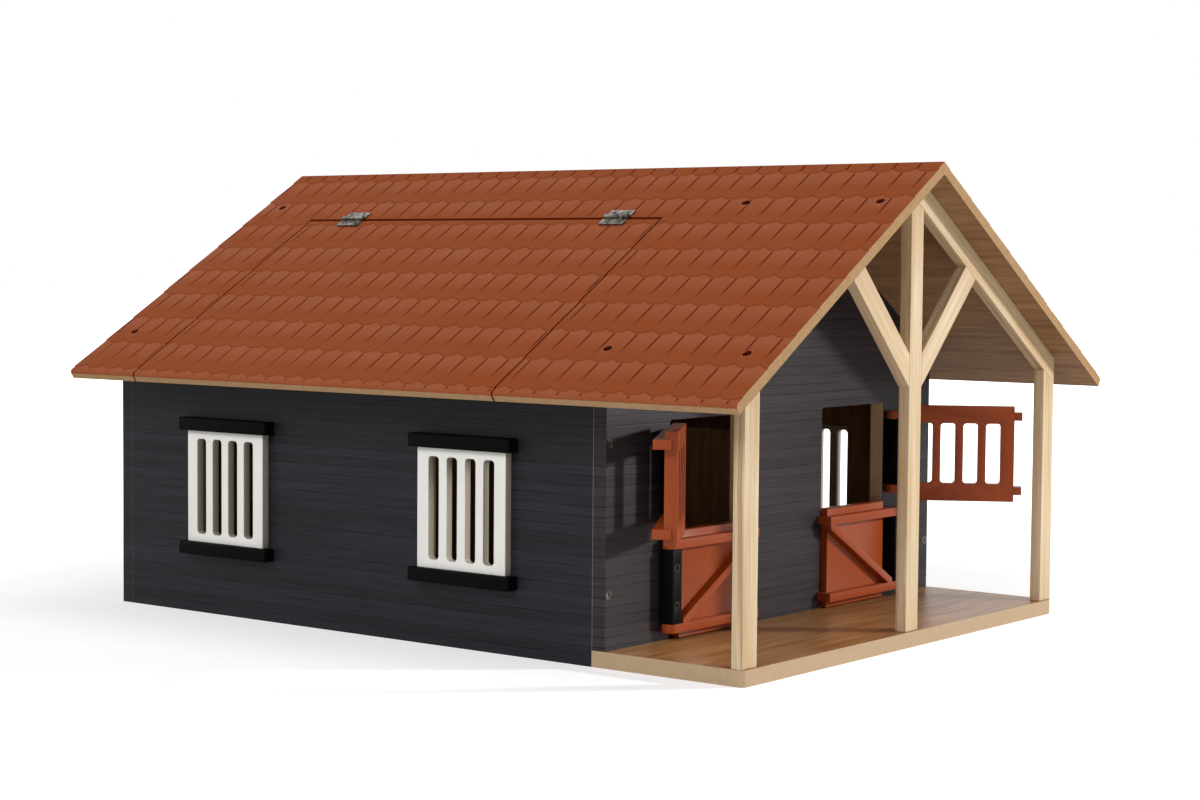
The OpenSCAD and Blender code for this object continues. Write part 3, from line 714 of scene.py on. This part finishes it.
@dataclass
class TiledRoof:
    """The two roof slopes and the hatch, with scalloped courses pressed into their tops.

    A point of a slope is given by s, its distance down from the ridge, y along the ridge and
    n, its height over the flat slope. Row k lies between butt lines k and k + 1.
    """

    sizes: RoofSizes = field(default_factory=RoofSizes)
    ridge: float = CAD_BOX[1].z
    front: float = CAD_BOX[0].y
    rear: float = CAD_BOX[1].y

    def rows(self) -> int:
        """Number of butt lines on a slope."""
        z = self.sizes
        return int((z.slope - z.eave_round - z.first_course) / z.course) + 1

    def row_start(self, row: int) -> float:
        """Lowest place of butt line number row, down from the ridge."""
        return self.sizes.first_course + row * self.sizes.course

    def joint_offset(self, row: int, y: Array) -> Array:
        """Distance from y to the nearest upright joint of a row; odd rows lie half a tile over."""
        z = self.sizes
        start = z.tile_phase + (z.tile / 2 if row % 2 else 0.0)
        return (y - start + z.tile / 2) % z.tile - z.tile / 2

    def butt(self, row: int, y: Array) -> Array:
        """Scalloped butt line: each tile of the row above bulges down between its joints.

        The bulge is 1 - |d|^p, where d runs from 0 at the tile's middle to 1 at its joints.
        """
        z = self.sizes
        share = 1 - np.abs(self.joint_offset(row - 1, y)) / (z.tile / 2)
        bulge = 1 - share ** z.scallop_power
        return self.row_start(row) - z.scallop * (1 - bulge)

    def plane(self, row: int, s: Array) -> Array:
        """Depth of a row's face: a full step below its butt, rising to nothing at the next."""
        z = self.sizes
        if row < 0:
            return np.zeros_like(s)
        return np.maximum(z.step * (1 - (s - self.row_start(row)) / z.course), 0.0)

    def joint(self, row: int, s: Array, y: Array) -> Array:
        """Share of the full depth of an upright joint: a V across, running out down the tile."""
        z = self.sizes
        top = self.row_start(row) if row >= 0 else z.ridge_joint_start
        length = z.joint_end if row >= 0 else z.ridge_joint_end
        down = s - top
        fade = np.clip(z.joint_fade * (length - down) / (length - z.joint_start - z.joint_ramp), 0.0, 1.0)
        fade = np.where(down < z.joint_start + 0.1 * MM, 0.0, fade)
        across = np.clip(1 - np.abs(self.joint_offset(row, y)) / z.joint_half, 0.0, 1.0)
        return fade * across * self.press(row, y)

    def press(self, row: int, y: Array) -> Array:
        """How hard a joint was pressed: weaker towards the eave, most of all at the rear."""
        rearward = (y - self.front) / (self.rear - self.front)
        loss = 0.15 * max(row - 3, 0) * (0.35 + 0.65 * rearward)
        ripple = 0.12 * np.sin(y / (31 * MM) + row * 2.1)
        return np.clip(1.05 - loss + ripple, 0.25, 1.0)

    def y_lines(self, low: float, high: float, extra: tuple[float, ...] = ()) -> Array:
        """Places along the ridge where the mesh has a line: close at each joint, then even."""
        z = self.sizes
        half = z.tile / 2
        first = math.floor((low - z.tile_phase) / half) - 1
        count = int((high - low) / half) + 4
        joints = z.tile_phase + (first + np.arange(count)) * half
        near = np.array([-z.joint_half, -z.joint_half * 0.45, 0.0, z.joint_half * 0.45, z.joint_half])
        between = np.linspace(z.joint_half, half - z.joint_half, 7)[1:-1]
        lines = (joints[:, None] + np.concatenate([near, between])[None, :]).ravel()
        fixed = np.array([low, high, *extra])
        lines = lines[(lines > low) & (lines < high)]
        clear = np.abs(lines[:, None] - fixed[None, :]).min(axis=1) > z.line_gap
        return np.sort(np.concatenate([lines[clear], fixed]))

    def s_lines(self, y: Array, start: float, stops: tuple[float, ...] = ()):
        """Lines across the slope from a start to the eave's rounding.

        Args:
            y: Places along the ridge.
            start: Distance of the first line from the ridge.
            stops: Straight lines to add.

        Returns:
            A list of (row, s array), in order down the slope.
        """
        z = self.sizes
        flat = np.ones_like(y)
        lines = []
        if start <= 0:
            for s in (0.0, 0.5 * MM, 1.0 * MM, 4.5 * MM):
                lines.append((-1, flat * s))
            lines.append((-1, self.butt(0, y)))
        for row in range(self.rows()):
            top = self.row_start(row)
            lines.append((row, self.butt(row, y) + z.butt_run))
            lines.append((row, self.butt(row, y) + 0.9 * MM))
            for step in (z.joint_start, z.joint_start + z.joint_ramp, 6 * MM, 12 * MM, z.joint_end):
                if top + step < z.slope - z.eave_round - 0.2 * MM:
                    lines.append((row, flat * (top + step)))
            if row + 1 < self.rows():
                lines.append((row, self.butt(row + 1, y)))
        for stop in (*stops, start, z.slope - z.eave_round):
            if stop > 0:
                row = math.floor((stop - z.first_course) / z.course)
                lines.append((row, flat * stop))
        lines.sort(key=lambda line: float(line[1].mean()))
        return [line for line in lines if line[1].mean() >= start - 1e-9]

    def profile(self, y: Array, start: float, stops: tuple[float, ...] = ()):
        """Closed section of a board at every place along the ridge.

        Returns:
            s and n as arrays of section point by place, the attribute arrays cleft, down and
            tone, the number of top lines, and the number of the line at each stop.
        """
        z = self.sizes
        lines = self.s_lines(y, start, stops)
        s = np.array([line for _, line in lines])
        rows = [row for row, _ in lines]
        joint = np.array([self.joint(row, line, y) for row, line in lines])
        depth = np.array([self.plane(row, line) for row, line in lines])
        n = -depth - joint * z.joint_depth
        under_butt = np.array([
            np.ones_like(y) if row >= 0 and np.allclose(line, self.butt(row, y) + z.butt_run)
            else np.zeros_like(y)
            for row, line in lines
        ])
        # Share of painted shade: strong in the joints, weaker in a thin line under each butt.
        cleft_shade = np.clip(np.maximum(joint * z.joint_shade, z.butt_shade * under_butt), 0.0, z.most_shade)
        # Share down each course, which the paint turns into painted sheen near the upper end.
        down = np.array([np.clip((line - self.row_start(row)) / z.course, 0, 1) for row, line in lines])
        column = np.array([
            np.floor((y - z.tile_phase - (z.tile / 2 if row % 2 else 0.0)) / z.tile) for row in rows
        ])
        mark = np.sin(column * 12.9898 + np.array(rows)[:, None] * 78.233) * 43758.5453
        tone = mark - np.floor(mark)
        turn = np.radians([67.5, 45.0, 22.5, 0.0])[:, None]
        arc_s = z.slope - z.eave_round + z.eave_round * np.cos(turn) + 0 * y
        arc_n = n[-1] - z.eave_round + z.eave_round * np.sin(turn)
        eave_s = z.slope + 0 * y
        low_s = [eave_s] + [stop + 0 * y for stop in sorted(stops, reverse=True)]
        inner = z.thick * math.tan(z.pitch) if start <= 0 else start
        low_s.append(inner + 0 * y)
        all_s = np.concatenate([s, arc_s, np.array(low_s)])
        all_n = np.concatenate([n, arc_n, np.full((len(low_s), len(y)), -z.thick)])
        pad = len(all_s) - len(s)
        fill = lambda a, last: np.concatenate([a, np.repeat(last[None, :], pad, axis=0)])
        bent = np.ptp(s, axis=1) > 1e-9
        stop_at = [int(np.argmin(np.abs(s.mean(axis=1) - stop) + bent)) for stop in stops]
        return all_s, all_n, fill(cleft_shade, 0 * y), fill(down, down[-1]), fill(tone, tone[-1]), len(s), stop_at

    def place(self, s: Array, n: Array, y: Array, side: int) -> Array:
        """Points in space of slope places; side is -1 for the left slope and 1 for the right."""
        p = self.sizes.pitch
        x = side * (s * math.cos(p) + n * math.sin(p))
        z = self.ridge - s * math.sin(p) + n * math.cos(p)
        return np.stack([x, np.broadcast_to(y, s.shape), z], axis=-1).reshape(-1, 3)

    def board(
        self, name: str, side: int, span: tuple[float, float], start: float, hole, body: str, materials: list
    ) -> bpy.types.Object:
        """Builds one roof board as a closed shell.

        Args:
            name: Name of the piece.
            side: -1 for the left slope, 1 for the right.
            span: Its two ends along the ridge.
            start: Its upper edge, down from the ridge.
            hole: None, or the hatch hole as (upper edge, front end, rear end).
            body: The body that it moves with.
            materials: Materials in the order of Board.

        Returns:
            The new object.
        """
        extra = hole[1:] if hole else ()
        y = self.y_lines(*span, extra)
        stops = (hole[0],) if hole else ()
        s, n, cleft_shade, down, tone, top_count, stop_at = self.profile(y, start, stops)
        ring, places = s.shape
        index = np.arange(ring * places).reshape(ring, places)
        around = np.arange(ring)
        after = (around + 1) % ring
        quads = np.stack([
            index[around][:, :-1], index[after][:, :-1], index[after][:, 1:], index[around][:, 1:]
        ], axis=-1)
        slot_of = np.full(ring, Board.FIBRE)
        slot_of[: top_count + 3] = Board.PAINT
        slot_of[top_count + 4: ring - 1] = Board.PRINT
        if start > 0:
            slot_of[ring - 1] = Board.SEAM
        kinds = np.repeat(slot_of[:, None], places - 1, axis=1)
        keep = np.ones((ring, places - 1), bool)
        faces, slots = [], []
        if hole:
            first, last = (int(np.argmin(np.abs(y - end))) for end in hole[1:])
            up, low = stop_at[0], ring - 2
            keep[up:low, first:last] = False
            wall = np.stack([index[up, first:last], index[low, first:last],
                             index[low, first + 1:last + 1], index[up, first + 1:last + 1]], axis=-1)
            faces += wall.tolist()
            slots += [Board.SEAM] * len(wall)
            faces += [index[up:low + 1, first].tolist(), index[up:low + 1, last][::-1].tolist()]
            slots += [Board.SEAM] * 2
        faces += quads[keep].tolist()
        slots += kinds[keep].tolist()
        faces += [index[::-1, 0].tolist(), index[:, -1].tolist()]
        slots += [Board.SEAM if start > 0 else Board.FIBRE] * 2
        if side < 0:
            faces = [face[::-1] for face in faces]
        made = new_piece(name, self.place(s, n, y, side), faces, materials, body)
        made.data.polygons.foreach_set("material_index", np.array(slots, np.int32))
        for key, values in (("cleft_shade", cleft_shade), ("down", down), ("tone", tone)):
            layer = made.data.attributes.new(key, "FLOAT", "POINT")
            layer.data.foreach_set("value", values.astype(np.float32).ravel())
        return made

    def sink_screws(self, piece: bpy.types.Object, side: int, material) -> None:
        """Cuts the round seats of the roof screws into a board."""
        z = self.sizes
        angle = np.linspace(0, 2 * math.pi, 33)[:-1]
        points, faces = [], []
        for y in z.screw_y:
            for s in (z.screw_up, z.screw_down):
                base = len(points) * 32
                for n in (-z.screw_sink, 2 * MM):
                    circle_s = s + z.screw_seat * np.cos(angle)
                    circle_y = y + z.screw_seat * np.sin(angle)
                    points.append(self.place(circle_s, np.full(32, n), circle_y, side))
                low, high = np.arange(32) + base, np.arange(32) + base + 32
                rim = np.stack([low, np.roll(low, -1), np.roll(high, -1), high], axis=-1)
                if side < 0:
                    rim = rim[:, ::-1]
                faces += rim.tolist()
                ends = [low[::-1].tolist(), high.tolist()]
                faces += ends if side > 0 else [end[::-1] for end in ends]
        mesh = bpy.data.meshes.new("screw_seats")
        mesh.from_pydata(np.concatenate(points).tolist(), [], faces)
        # The seat walls get the seam paint as painted shade in the holes.
        for slot in (None, None, None, material):
            mesh.materials.append(slot)
        mesh.polygons.foreach_set("material_index", np.full(len(faces), Board.SEAM, np.int32))
        cutter = add_object("screw_seats", mesh)
        cut = piece.modifiers.new("seats", "BOOLEAN")
        cut.operation = "DIFFERENCE"
        cut.solver = "EXACT"
        cut.object = cutter
        view = bpy.context.evaluated_depsgraph_get()
        result = bpy.data.meshes.new_from_object(piece.evaluated_get(view))
        piece.modifiers.clear()
        old = piece.data
        piece.data = result
        bpy.data.meshes.remove(old)
        bpy.data.objects.remove(cutter)
        bpy.data.meshes.remove(mesh)

    def build(self) -> None:
        """Makes both slopes and the hatch and dresses them."""
        z = self.sizes
        paint = TilePaint("tile_paint", roughness=0.55, sheen_level=0.04, bump=0.25).material()
        fibre = Fibreboard("roof_board_edge", roughness=0.85, sheen_level=0.05,
                           light=srgb(190, 156, 118), dark=srgb(150, 116, 78)).material()
        # Dark red-brown seam paint, which in the screw seats is painted shade for the holes.
        seam_paint_and_seat_shade = Moulded("seam_paint_and_seat_shade", roughness=0.6, sheen_level=0.05,
                             body=srgb(128, 44, 14), cloud=srgb(116, 38, 11)).material()
        under = OakPrint("roof_underside", roughness=0.5, sheen_level=0.2, turn=(0.0, 0.0, math.pi / 2),
                         light=srgb(180, 140, 102), dark=srgb(130, 94, 62)).material()
        top, gap = z.hatch_top_half, z.hatch_side_half
        seam = (z.hatch_seam - top, z.hatch_low - gap, z.hatch_high + gap)
        hatch_span = (z.hatch_low + gap, z.hatch_high - gap)
        jobs = (
            ("left_roof_tiles", "left_roof_panel", -1, (self.front, self.rear), 0.0, seam, "barn"),
            ("right_roof_tiles", "right_roof_panel", 1, (self.front, self.rear), 0.0, None, "barn"),
            ("hatch_tiles", "roof_hatch", -1, hatch_span, z.hatch_seam + top, None, "hatch"),
        )
        for name, node, side, span, start, hole, body in jobs:
            made = self.board(name, side, span, start, hole, body, [paint, fibre, under, seam_paint_and_seat_shade])
            if body == "barn":
                self.sink_screws(made, side, seam_paint_and_seat_shade)
            smooth_faces(made, TILE_CREASE)
            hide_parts(node)
            LOG.info("%s: %d faces", name, len(made.data.polygons))


@dataclass(frozen=True)
class Bar:
    """A stick of rounded rectangular section whose two ends follow given surfaces.

    side, depth and along are unit vectors at right angles, with side x depth = along. The
    ends are functions of the place across the stick, so that plumb, mitred and peaked cuts
    are all exact.
    """

    origin: Triple
    side: Triple
    depth: Triple
    width: float
    thick: float
    ease: float
    low: Callable[[Array], Array]
    high: Callable[[Array], Array]

    def half_outline(self, inset: float) -> tuple[Array, Array]:
        """Upper half of the section, from one side to the other, drawn in by an inset."""
        r = max(self.ease - inset, 0.02 * MM)
        half_w, half_t = self.width / 2 - inset, self.thick / 2 - inset
        corner = np.radians(np.linspace(90, 0, 5))
        right_b = half_w - r + r * np.cos(corner)
        right_c = half_t - r + r * np.sin(corner)
        middle = np.linspace(-(half_w - r), half_w - r, 5)[1:-1]
        b = np.concatenate([-right_b[::-1], middle, right_b])
        c = np.concatenate([right_c[::-1], np.full(3, half_t), right_c])
        return b, c

    def surface(self) -> tuple[Array, list]:
        """Points and outward faces of the closed stick."""
        side, depth = np.array(self.side), np.array(self.depth)
        along = np.cross(side, depth)
        rings = []
        for end, sign in ((self.low, 1), (self.high, -1)):
            turns = np.radians([90, 60, 30, 0])
            for turn in turns if sign > 0 else turns[::-1]:
                inset = self.ease * (1 - math.cos(turn))
                b, c = self.half_outline(inset)
                loop_b = np.concatenate([b, b[::-1]])
                loop_c = np.concatenate([-c, c[::-1]])
                reach = end(loop_b) + sign * self.ease * (1 - math.sin(turn))
                rings.append(
                    np.array(self.origin) + loop_b[:, None] * side + loop_c[:, None] * depth
                    + reach[:, None] * along
                )
        points = np.array(rings)
        count, size = points.shape[:2]
        index = np.arange(count * size).reshape(count, size)
        nxt = np.roll(index, -1, axis=1)
        walls = np.stack([index[:-1], nxt[:-1], nxt[1:], index[1:]], axis=-1).reshape(-1, 4).tolist()
        half = size // 2
        low = np.arange(half - 1)
        cap = np.stack([low, low + 1, size - 2 - low, size - 1 - low], axis=-1)
        walls += index[-1][cap].tolist()
        walls += index[0][cap[:, ::-1]].tolist()
        return points.reshape(-1, 3), walls


def place_bar(stick: Bar, node: str, kind: str, material) -> Array:
    """Makes a stick in place of its CAD node.

    Args:
        stick: The stick.
        node: The node that it replaces.
        kind: Last word of the piece's name.
        material: The piece's material.

    Returns:
        The stick's points.
    """
    points, faces = stick.surface()
    made = new_piece(f"{node}_{kind}", points, faces, [material], "barn")
    smooth_faces(made, BAR_CREASE)
    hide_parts(node)
    return points


@dataclass
class PorchTimber:
    """Three posts, two rafters and two braces of planed pine."""

    roof: RoofSizes = field(default_factory=RoofSizes)
    rafter: float = 13 * MM
    brace_foot: float = 148 * MM
    ease: float = 0.5 * MM

    def build(self) -> None:
        """Makes and dresses every stick, each in its CAD node's place."""
        p = self.roof.pitch
        tan, cos, sin = math.tan(p), math.cos(p), math.sin(p)
        low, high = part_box("left_post")
        width, thick = high.x - low.x, high.y - low.y
        middle_y = (low.y + high.y) / 2
        half_house = -low.x
        foot = low.z
        top = CAD_BOX[1].z - (self.roof.thick + self.rafter) / cos
        posts = Pine("post_pine", roughness=0.5, sheen_level=0.2, turn=(0, math.pi / 2, 0)).material()
        for node, x in (("left_post", -half_house + width / 2), ("middle_post", 0.0),
                        ("right_post", half_house - width / 2)):
            stick = Bar((x, middle_y, 0), (1, 0, 0), (0, 1, 0), width, thick, self.ease,
                        lambda b: foot + 0 * b, lambda b, x=x: top - np.abs(x + b) * tan)
            self.dress(node, stick, posts)
        for node, side in (("left_rafter", -1), ("right_rafter", 1)):
            turn = (0, -p * side, 0)
            pine = Pine(f"{node}_pine", roughness=0.5, sheen_level=0.2, turn=turn).material()
            middle_n = -(self.roof.thick + self.rafter / 2)
            origin = (side * middle_n * sin, middle_y, CAD_BOX[1].z + middle_n * cos)
            near = lambda b: -(middle_n + b) * sin / cos
            far = lambda b: (half_house - (middle_n + b) * sin) / cos
            stick = Bar(origin, (side * sin, 0, cos), (0, -side, 0), self.rafter, thick, self.ease, near, far)
            self.dress(node, stick, pine)
        for node, side in (("left_brace", -1), ("right_brace", 1)):
            turn = (0, side * math.pi / 4, 0)
            pine = Pine(f"{node}_pine", roughness=0.5, sheen_level=0.2, turn=turn).material()
            root = math.sqrt(0.5)
            across, depth = (root, 0, -side * root), (0, 1, 0)
            along = np.cross(np.array(across), np.array(depth))
            start_x = side * width / 2
            start_z = self.brace_foot + width * root
            origin = (start_x, middle_y, start_z)
            near = lambda b, a=across, d=along: -(b * a[0]) / d[0]
            reach = lambda b, a=across, d=along, side=side: (
                (top - start_z - side * (start_x + b * a[0]) * tan - b * a[2]) / (d[2] + side * d[0] * tan)
            )
            stick = Bar(origin, across, depth, width, thick, self.ease, near, reach)
            self.dress(node, stick, pine)

    def dress(self, node: str, stick: Bar, material) -> None:
        """Makes one stick from its surface and puts it in its node's place."""
        points = place_bar(stick, node, "pine", material)


@dataclass
class House:
    """The printed boards: base plate, four walls and the stall partition."""

    raw_share: float = 0.15
    front_raw_share: float = 0.4
    # Front wall plank print, lighter and redder than the side walls' same foil: painted sheen.
    front_sheen_light: Colour = srgb(61, 53, 58)
    front_sheen_dark: Colour = srgb(29, 26, 29)

    def build(self) -> None:
        """Gives each CAD board its printed faces and bare edges."""
        upright = (0, math.pi / 2, 0)
        walls = {
            "front_wall": (1, "y", 0), "rear_wall": (1, "y", 1),
            "left_side_wall": (0, "x", 0), "right_side_wall": (0, "x", 1),
        }
        for node, (axis, letter, outer) in walls.items():
            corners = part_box(node)
            places = [getattr(corner, letter) for corner in corners]
            gable = axis == 1
            wide = abs(corners[0].x) if gable else 0.0
            finish = PrintedBoard(
                f"{node}_print", roughness=0.5, sheen_level=0.2, bump=0.4, bump_depth=0.12 * MM, axis=axis,
                planks=(places[outer],), oak=(places[1 - outer],), ends=wide,
                raw_line=places[1 - outer] if gable else 0.0, raw_share=self.raw_share, oak_turn=upright,
            )
            # The front wall takes the lighter plank print: painted sheen.
            if node == "front_wall":
                prints = {"plank_light": self.front_sheen_light, "plank_dark": self.front_sheen_dark}
                finish = replace(finish, raw_share=self.front_raw_share, **prints)
            self.dress(node, finish.material())
        low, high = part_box("stall_partition")
        self.dress("stall_partition", PrintedBoard(
            "partition_print", roughness=0.5, sheen_level=0.2, axis=0, oak=(low.x, high.x), oak_turn=upright,
        ).material())
        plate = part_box("base_plate")[1].z
        self.dress("base_plate", PrintedBoard(
            "base_plate_print", roughness=0.34, sheen_level=0.4, bump=0.1, axis=2, oak=(plate,),
            oak_light=srgb(188, 138, 86), oak_dark=srgb(122, 78, 40),
        ).material())

    @staticmethod
    def dress(node: str, material) -> None:
        """Puts a material on a CAD node."""
        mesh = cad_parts[node].data
        mesh.materials.clear()
        mesh.materials.append(material)
        LOG.info("%s: dressed", node)


@dataclass
class Windows:
    """Off-white grilles between black lintel and sill bars."""

    ease: float = 0.35 * MM
    bar_ease: float = 1.1 * MM

    def build(self) -> None:
        """Makes the four grilles and the eight bars round them."""
        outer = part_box("right_front_grille")[1].x
        white = FacedPanel("grille_face", roughness=0.45, sheen_level=0.2, bump=0.08,
                           plane=outer - self.ease).material()
        black = Moulded("black_bar", roughness=0.5, sheen_level=0.05, bump=0.15,
                        body=srgb(6, 6, 6), cloud=srgb(9, 9, 9)).material()
        for wall in ("left", "right"):
            for end in ("front", "rear"):
                eased_copy(f"{wall}_{end}_grille", f"{wall}_{end}_grille_plate", self.ease, white,
                           "barn")
                for kind in ("lintel", "sill"):
                    self.bar(f"{wall}_{end}_{kind}", black)
                LOG.info("%s %s window", wall, end)

    def bar(self, node: str, material) -> None:
        """Makes one lintel or sill bar as a rounded stick along Y."""
        low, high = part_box(node)
        middle = (low + high) / 2
        size = high - low
        stick = Bar((middle.x, 0, middle.z), (0, 0, 1), (1, 0, 0), size.z, size.x, self.bar_ease,
                    lambda b: low.y + 0 * b, lambda b: high.y + 0 * b)
        place_bar(stick, node, "bar", material)


@dataclass
class StableDoors:
    """Four moulded leaves with their hinge blocks."""

    ease: float = 0.75 * MM
    block_ease: float = 0.4 * MM

    def build(self) -> None:
        """Makes the leaves and blocks."""
        brown = Moulded("door_plastic", roughness=0.3, sheen_level=0.2, bump=0.12, coat=0.06,
                        body=srgb(154, 68, 28), cloud=srgb(160, 73, 31), scale=60.0).material()
        black = Moulded("block_plastic", roughness=0.5, sheen_level=0.08, bump=0.15,
                        body=srgb(6, 6, 7), cloud=srgb(9, 9, 10)).material()
        for side in ("left", "right"):
            for level in ("lower", "upper"):
                name = f"{side}_{level}"
                eased_copy(f"{name}_leaf", f"{name}_leaf_moulding", self.ease, brown,
                           f"{name}_door")
                eased_copy(f"{name}_block", f"{name}_block_moulding", self.block_ease, black,
                           "barn", steps=2)
                LOG.info("%s door", name)


@dataclass
class Fittings:
    """Hinges, pins and screws of plated steel."""

    def build(self) -> None:
        """Dresses every steel node."""
        # Near-black clouds on the hinge steel: painted dark reflections and the painted shadow at the
        # knuckle.
        bright = Steel("hinge_steel", roughness=0.26, bump=0.5, scale=230.0,
                       body=srgb(176, 168, 158), dull=srgb(20, 18, 16)).material()
        screw = Steel("screw_steel", roughness=0.3, bump=0.2,
                      body=srgb(140, 136, 130), dull=srgb(40, 38, 36)).material()
        # Dark steel for the roof and block screws: painted shade in their seats.
        dark = Steel("sunk_screw_steel", roughness=0.42, bump=0.2,
                     body=srgb(66, 60, 56), dull=srgb(24, 22, 20)).material()
        kinds = {"roof_screws": dark, "block_screws": dark}
        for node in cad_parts:
            if node.endswith(("fixed_leaf", "moving_leaf", "_pins")):
                House.dress(node, bright)
            elif node.endswith("screws"):
                House.dress(node, kinds.get(node, screw))


@dataclass
class Studio:
    """Pale floor, white surroundings, soft lamps and the camera."""

    position: Triple = (-1.14685, -0.90572, 0.21499)
    azimuth: float = math.radians(-52.877)
    elevation: float = math.radians(3.362)
    roll: float = math.radians(0.5185)
    lens: float = 69.975
    shift: tuple[float, float] = (-0.02986, 0.00284)
    fill: float = 0.42
    floor_near: float = 0.4
    floor_far: float = 1.1
    key: float = 7.0
    key_place: Triple = (0.427, -0.80, 0.325)
    key_aim: Triple = (-0.1, -0.15, 0.09)
    key_size: float = 0.06
    key_tint: Colour = (1, 0.985, 0.96, 1)
    paper: Colour = (0.74, 0.74, 0.74, 1)
    floor_lift: float = 0.4
    floor_reach: float = 14.0
    left: float = 1.35
    left_source: Triple = (-1.0, -0.1, 0.78)
    left_size: float = math.radians(28)
    top: float = 0.5
    top_source: Triple = (0.28, -0.25, 1.0)
    top_size: float = math.radians(30)

    def build(self) -> None:
        """Makes the floor, the world, the lamps and the camera."""
        self.floor()
        self.world()
        self.panel()
        self.lamp("left", self.left, self.left_source, self.left_size)
        self.lamp("top", self.top, self.top_source, self.top_size)
        self.camera()
        bpy.context.scene.view_settings.view_transform = "Standard"

    def floor(self) -> None:
        """A wide floor that shows white to the camera and keeps the object's shadow."""
        mesh = bpy.data.meshes.new("floor")
        reach = self.floor_reach
        corners = [(x * reach, y * reach, 0) for x, y in ((-1, -1), (1, -1), (1, 1), (-1, 1))]
        mesh.from_pydata(corners, [], [(0, 1, 2, 3)])
        floor = add_object("floor", mesh)
        made = bpy.data.materials.new("floor_paper")
        graph = cleared(made)
        paper = graph.node("ShaderNodeBsdfDiffuse", {"Color": self.paper})
        seen = graph.node("ShaderNodeLightPath").outputs["Is Camera Ray"]
        away = graph.node("ShaderNodeVectorMath", {0: graph.place()}, operation="LENGTH").outputs["Value"]
        far = graph.span(away, self.floor_near, self.floor_far)
        lift = graph.times(seen, graph.math("ADD", self.floor_lift, far))
        glow = graph.node("ShaderNodeEmission", {"Color": (1, 1, 1, 1), "Strength": lift})
        both = graph.node("ShaderNodeAddShader", {0: paper.outputs[0], 1: glow.outputs[0]})
        graph.node("ShaderNodeOutputMaterial", {0: both.outputs[0]})
        mesh.materials.append(made)

    def world(self) -> None:
        """White surroundings for the camera and for reflections, with a plain fill light."""
        world = bpy.data.worlds.new("studio")
        bpy.context.scene.world = world
        graph = cleared(world)
        path = graph.node("ShaderNodeLightPath").outputs
        seen = graph.math("MAXIMUM", path["Is Camera Ray"], path["Is Glossy Ray"])
        seen = graph.math("MAXIMUM", seen, path["Is Transmission Ray"])
        strength = graph.span(seen, 0.0, 1.0, self.fill, 1.0)
        light = graph.node("ShaderNodeBackground", {"Color": (1, 1, 1, 1), "Strength": strength})
        graph.node("ShaderNodeOutputWorld", {0: light.outputs[0]})

    def lamp(self, name: str, strength: float, source: Triple, angle: float) -> None:
        """A sun lamp that shines from a direction.

        Args:
            name: The lamp's name.
            strength: Its strength.
            source: Direction towards the lamp.
            angle: Its apparent size, which softens the shadows.
        """
        data = bpy.data.lights.new(name, "SUN")
        data.energy = strength
        data.angle = angle
        self.aim(data, source, source)

    def panel(self) -> None:
        """The key light: a small near panel at the front right that lights near and far alike."""
        data = bpy.data.lights.new("key", "AREA")
        data.energy = self.key
        data.size = self.key_size
        graph = cleared(data)
        even = graph.node("ShaderNodeLightFalloff", {"Strength": 1.0})
        strength = even.outputs["Constant"]
        glow = graph.node("ShaderNodeEmission", {"Color": self.key_tint, "Strength": strength})
        graph.node("ShaderNodeOutputLight", {0: glow.outputs[0]})
        self.aim(data, self.key_place, np.array(self.key_place) - np.array(self.key_aim))

    @staticmethod
    def aim(data: bpy.types.Light, place, source) -> None:
        """Places a lamp so that its back points along a direction."""
        lamp = add_object(data.name, data)
        back = np.array(source) / np.linalg.norm(source)
        right = np.cross([0, 0, 1], back)
        right /= np.linalg.norm(right)
        up = np.cross(back, right)
        lamp.matrix_world = Matrix([[right[i], up[i], back[i], place[i]] for i in range(3)] + [[0, 0, 0, 1]])

    def camera(self) -> None:
        """The photograph's camera, from its fitted angles and lens."""
        data = bpy.data.cameras.new("camera")
        data.lens = self.lens
        data.sensor_width = 36.0
        data.shift_x, data.shift_y = self.shift
        data.clip_start, data.clip_end = 0.05, 60.0
        camera = add_object("camera", data)
        a, e, r = self.azimuth, self.elevation, self.roll
        back = np.array([math.sin(a) * math.cos(e), -math.cos(a) * math.cos(e), math.sin(e)])
        level = np.cross([0, 0, 1], back)
        level /= np.linalg.norm(level)
        rise = np.cross(back, level)
        right = level * math.cos(r) + rise * math.sin(r)
        up = rise * math.cos(r) - level * math.sin(r)
        rows = [[right[i], up[i], back[i], self.position[i]] for i in range(3)]
        camera.matrix_world = Matrix(rows + [[0, 0, 0, 1]])
        bpy.context.scene.camera = camera


def main() -> None:
    """Builds the looks of the barn, sub-assembly by sub-assembly."""
    logging.basicConfig(level=logging.INFO, format="%(message)s")
    for part in (TiledRoof(), PorchTimber(), House(), Windows(), StableDoors(), Fittings(), Studio()):
        LOG.info("Building %s", type(part).__name__)
        part.build()


if __name__ == "__main__":
    main()
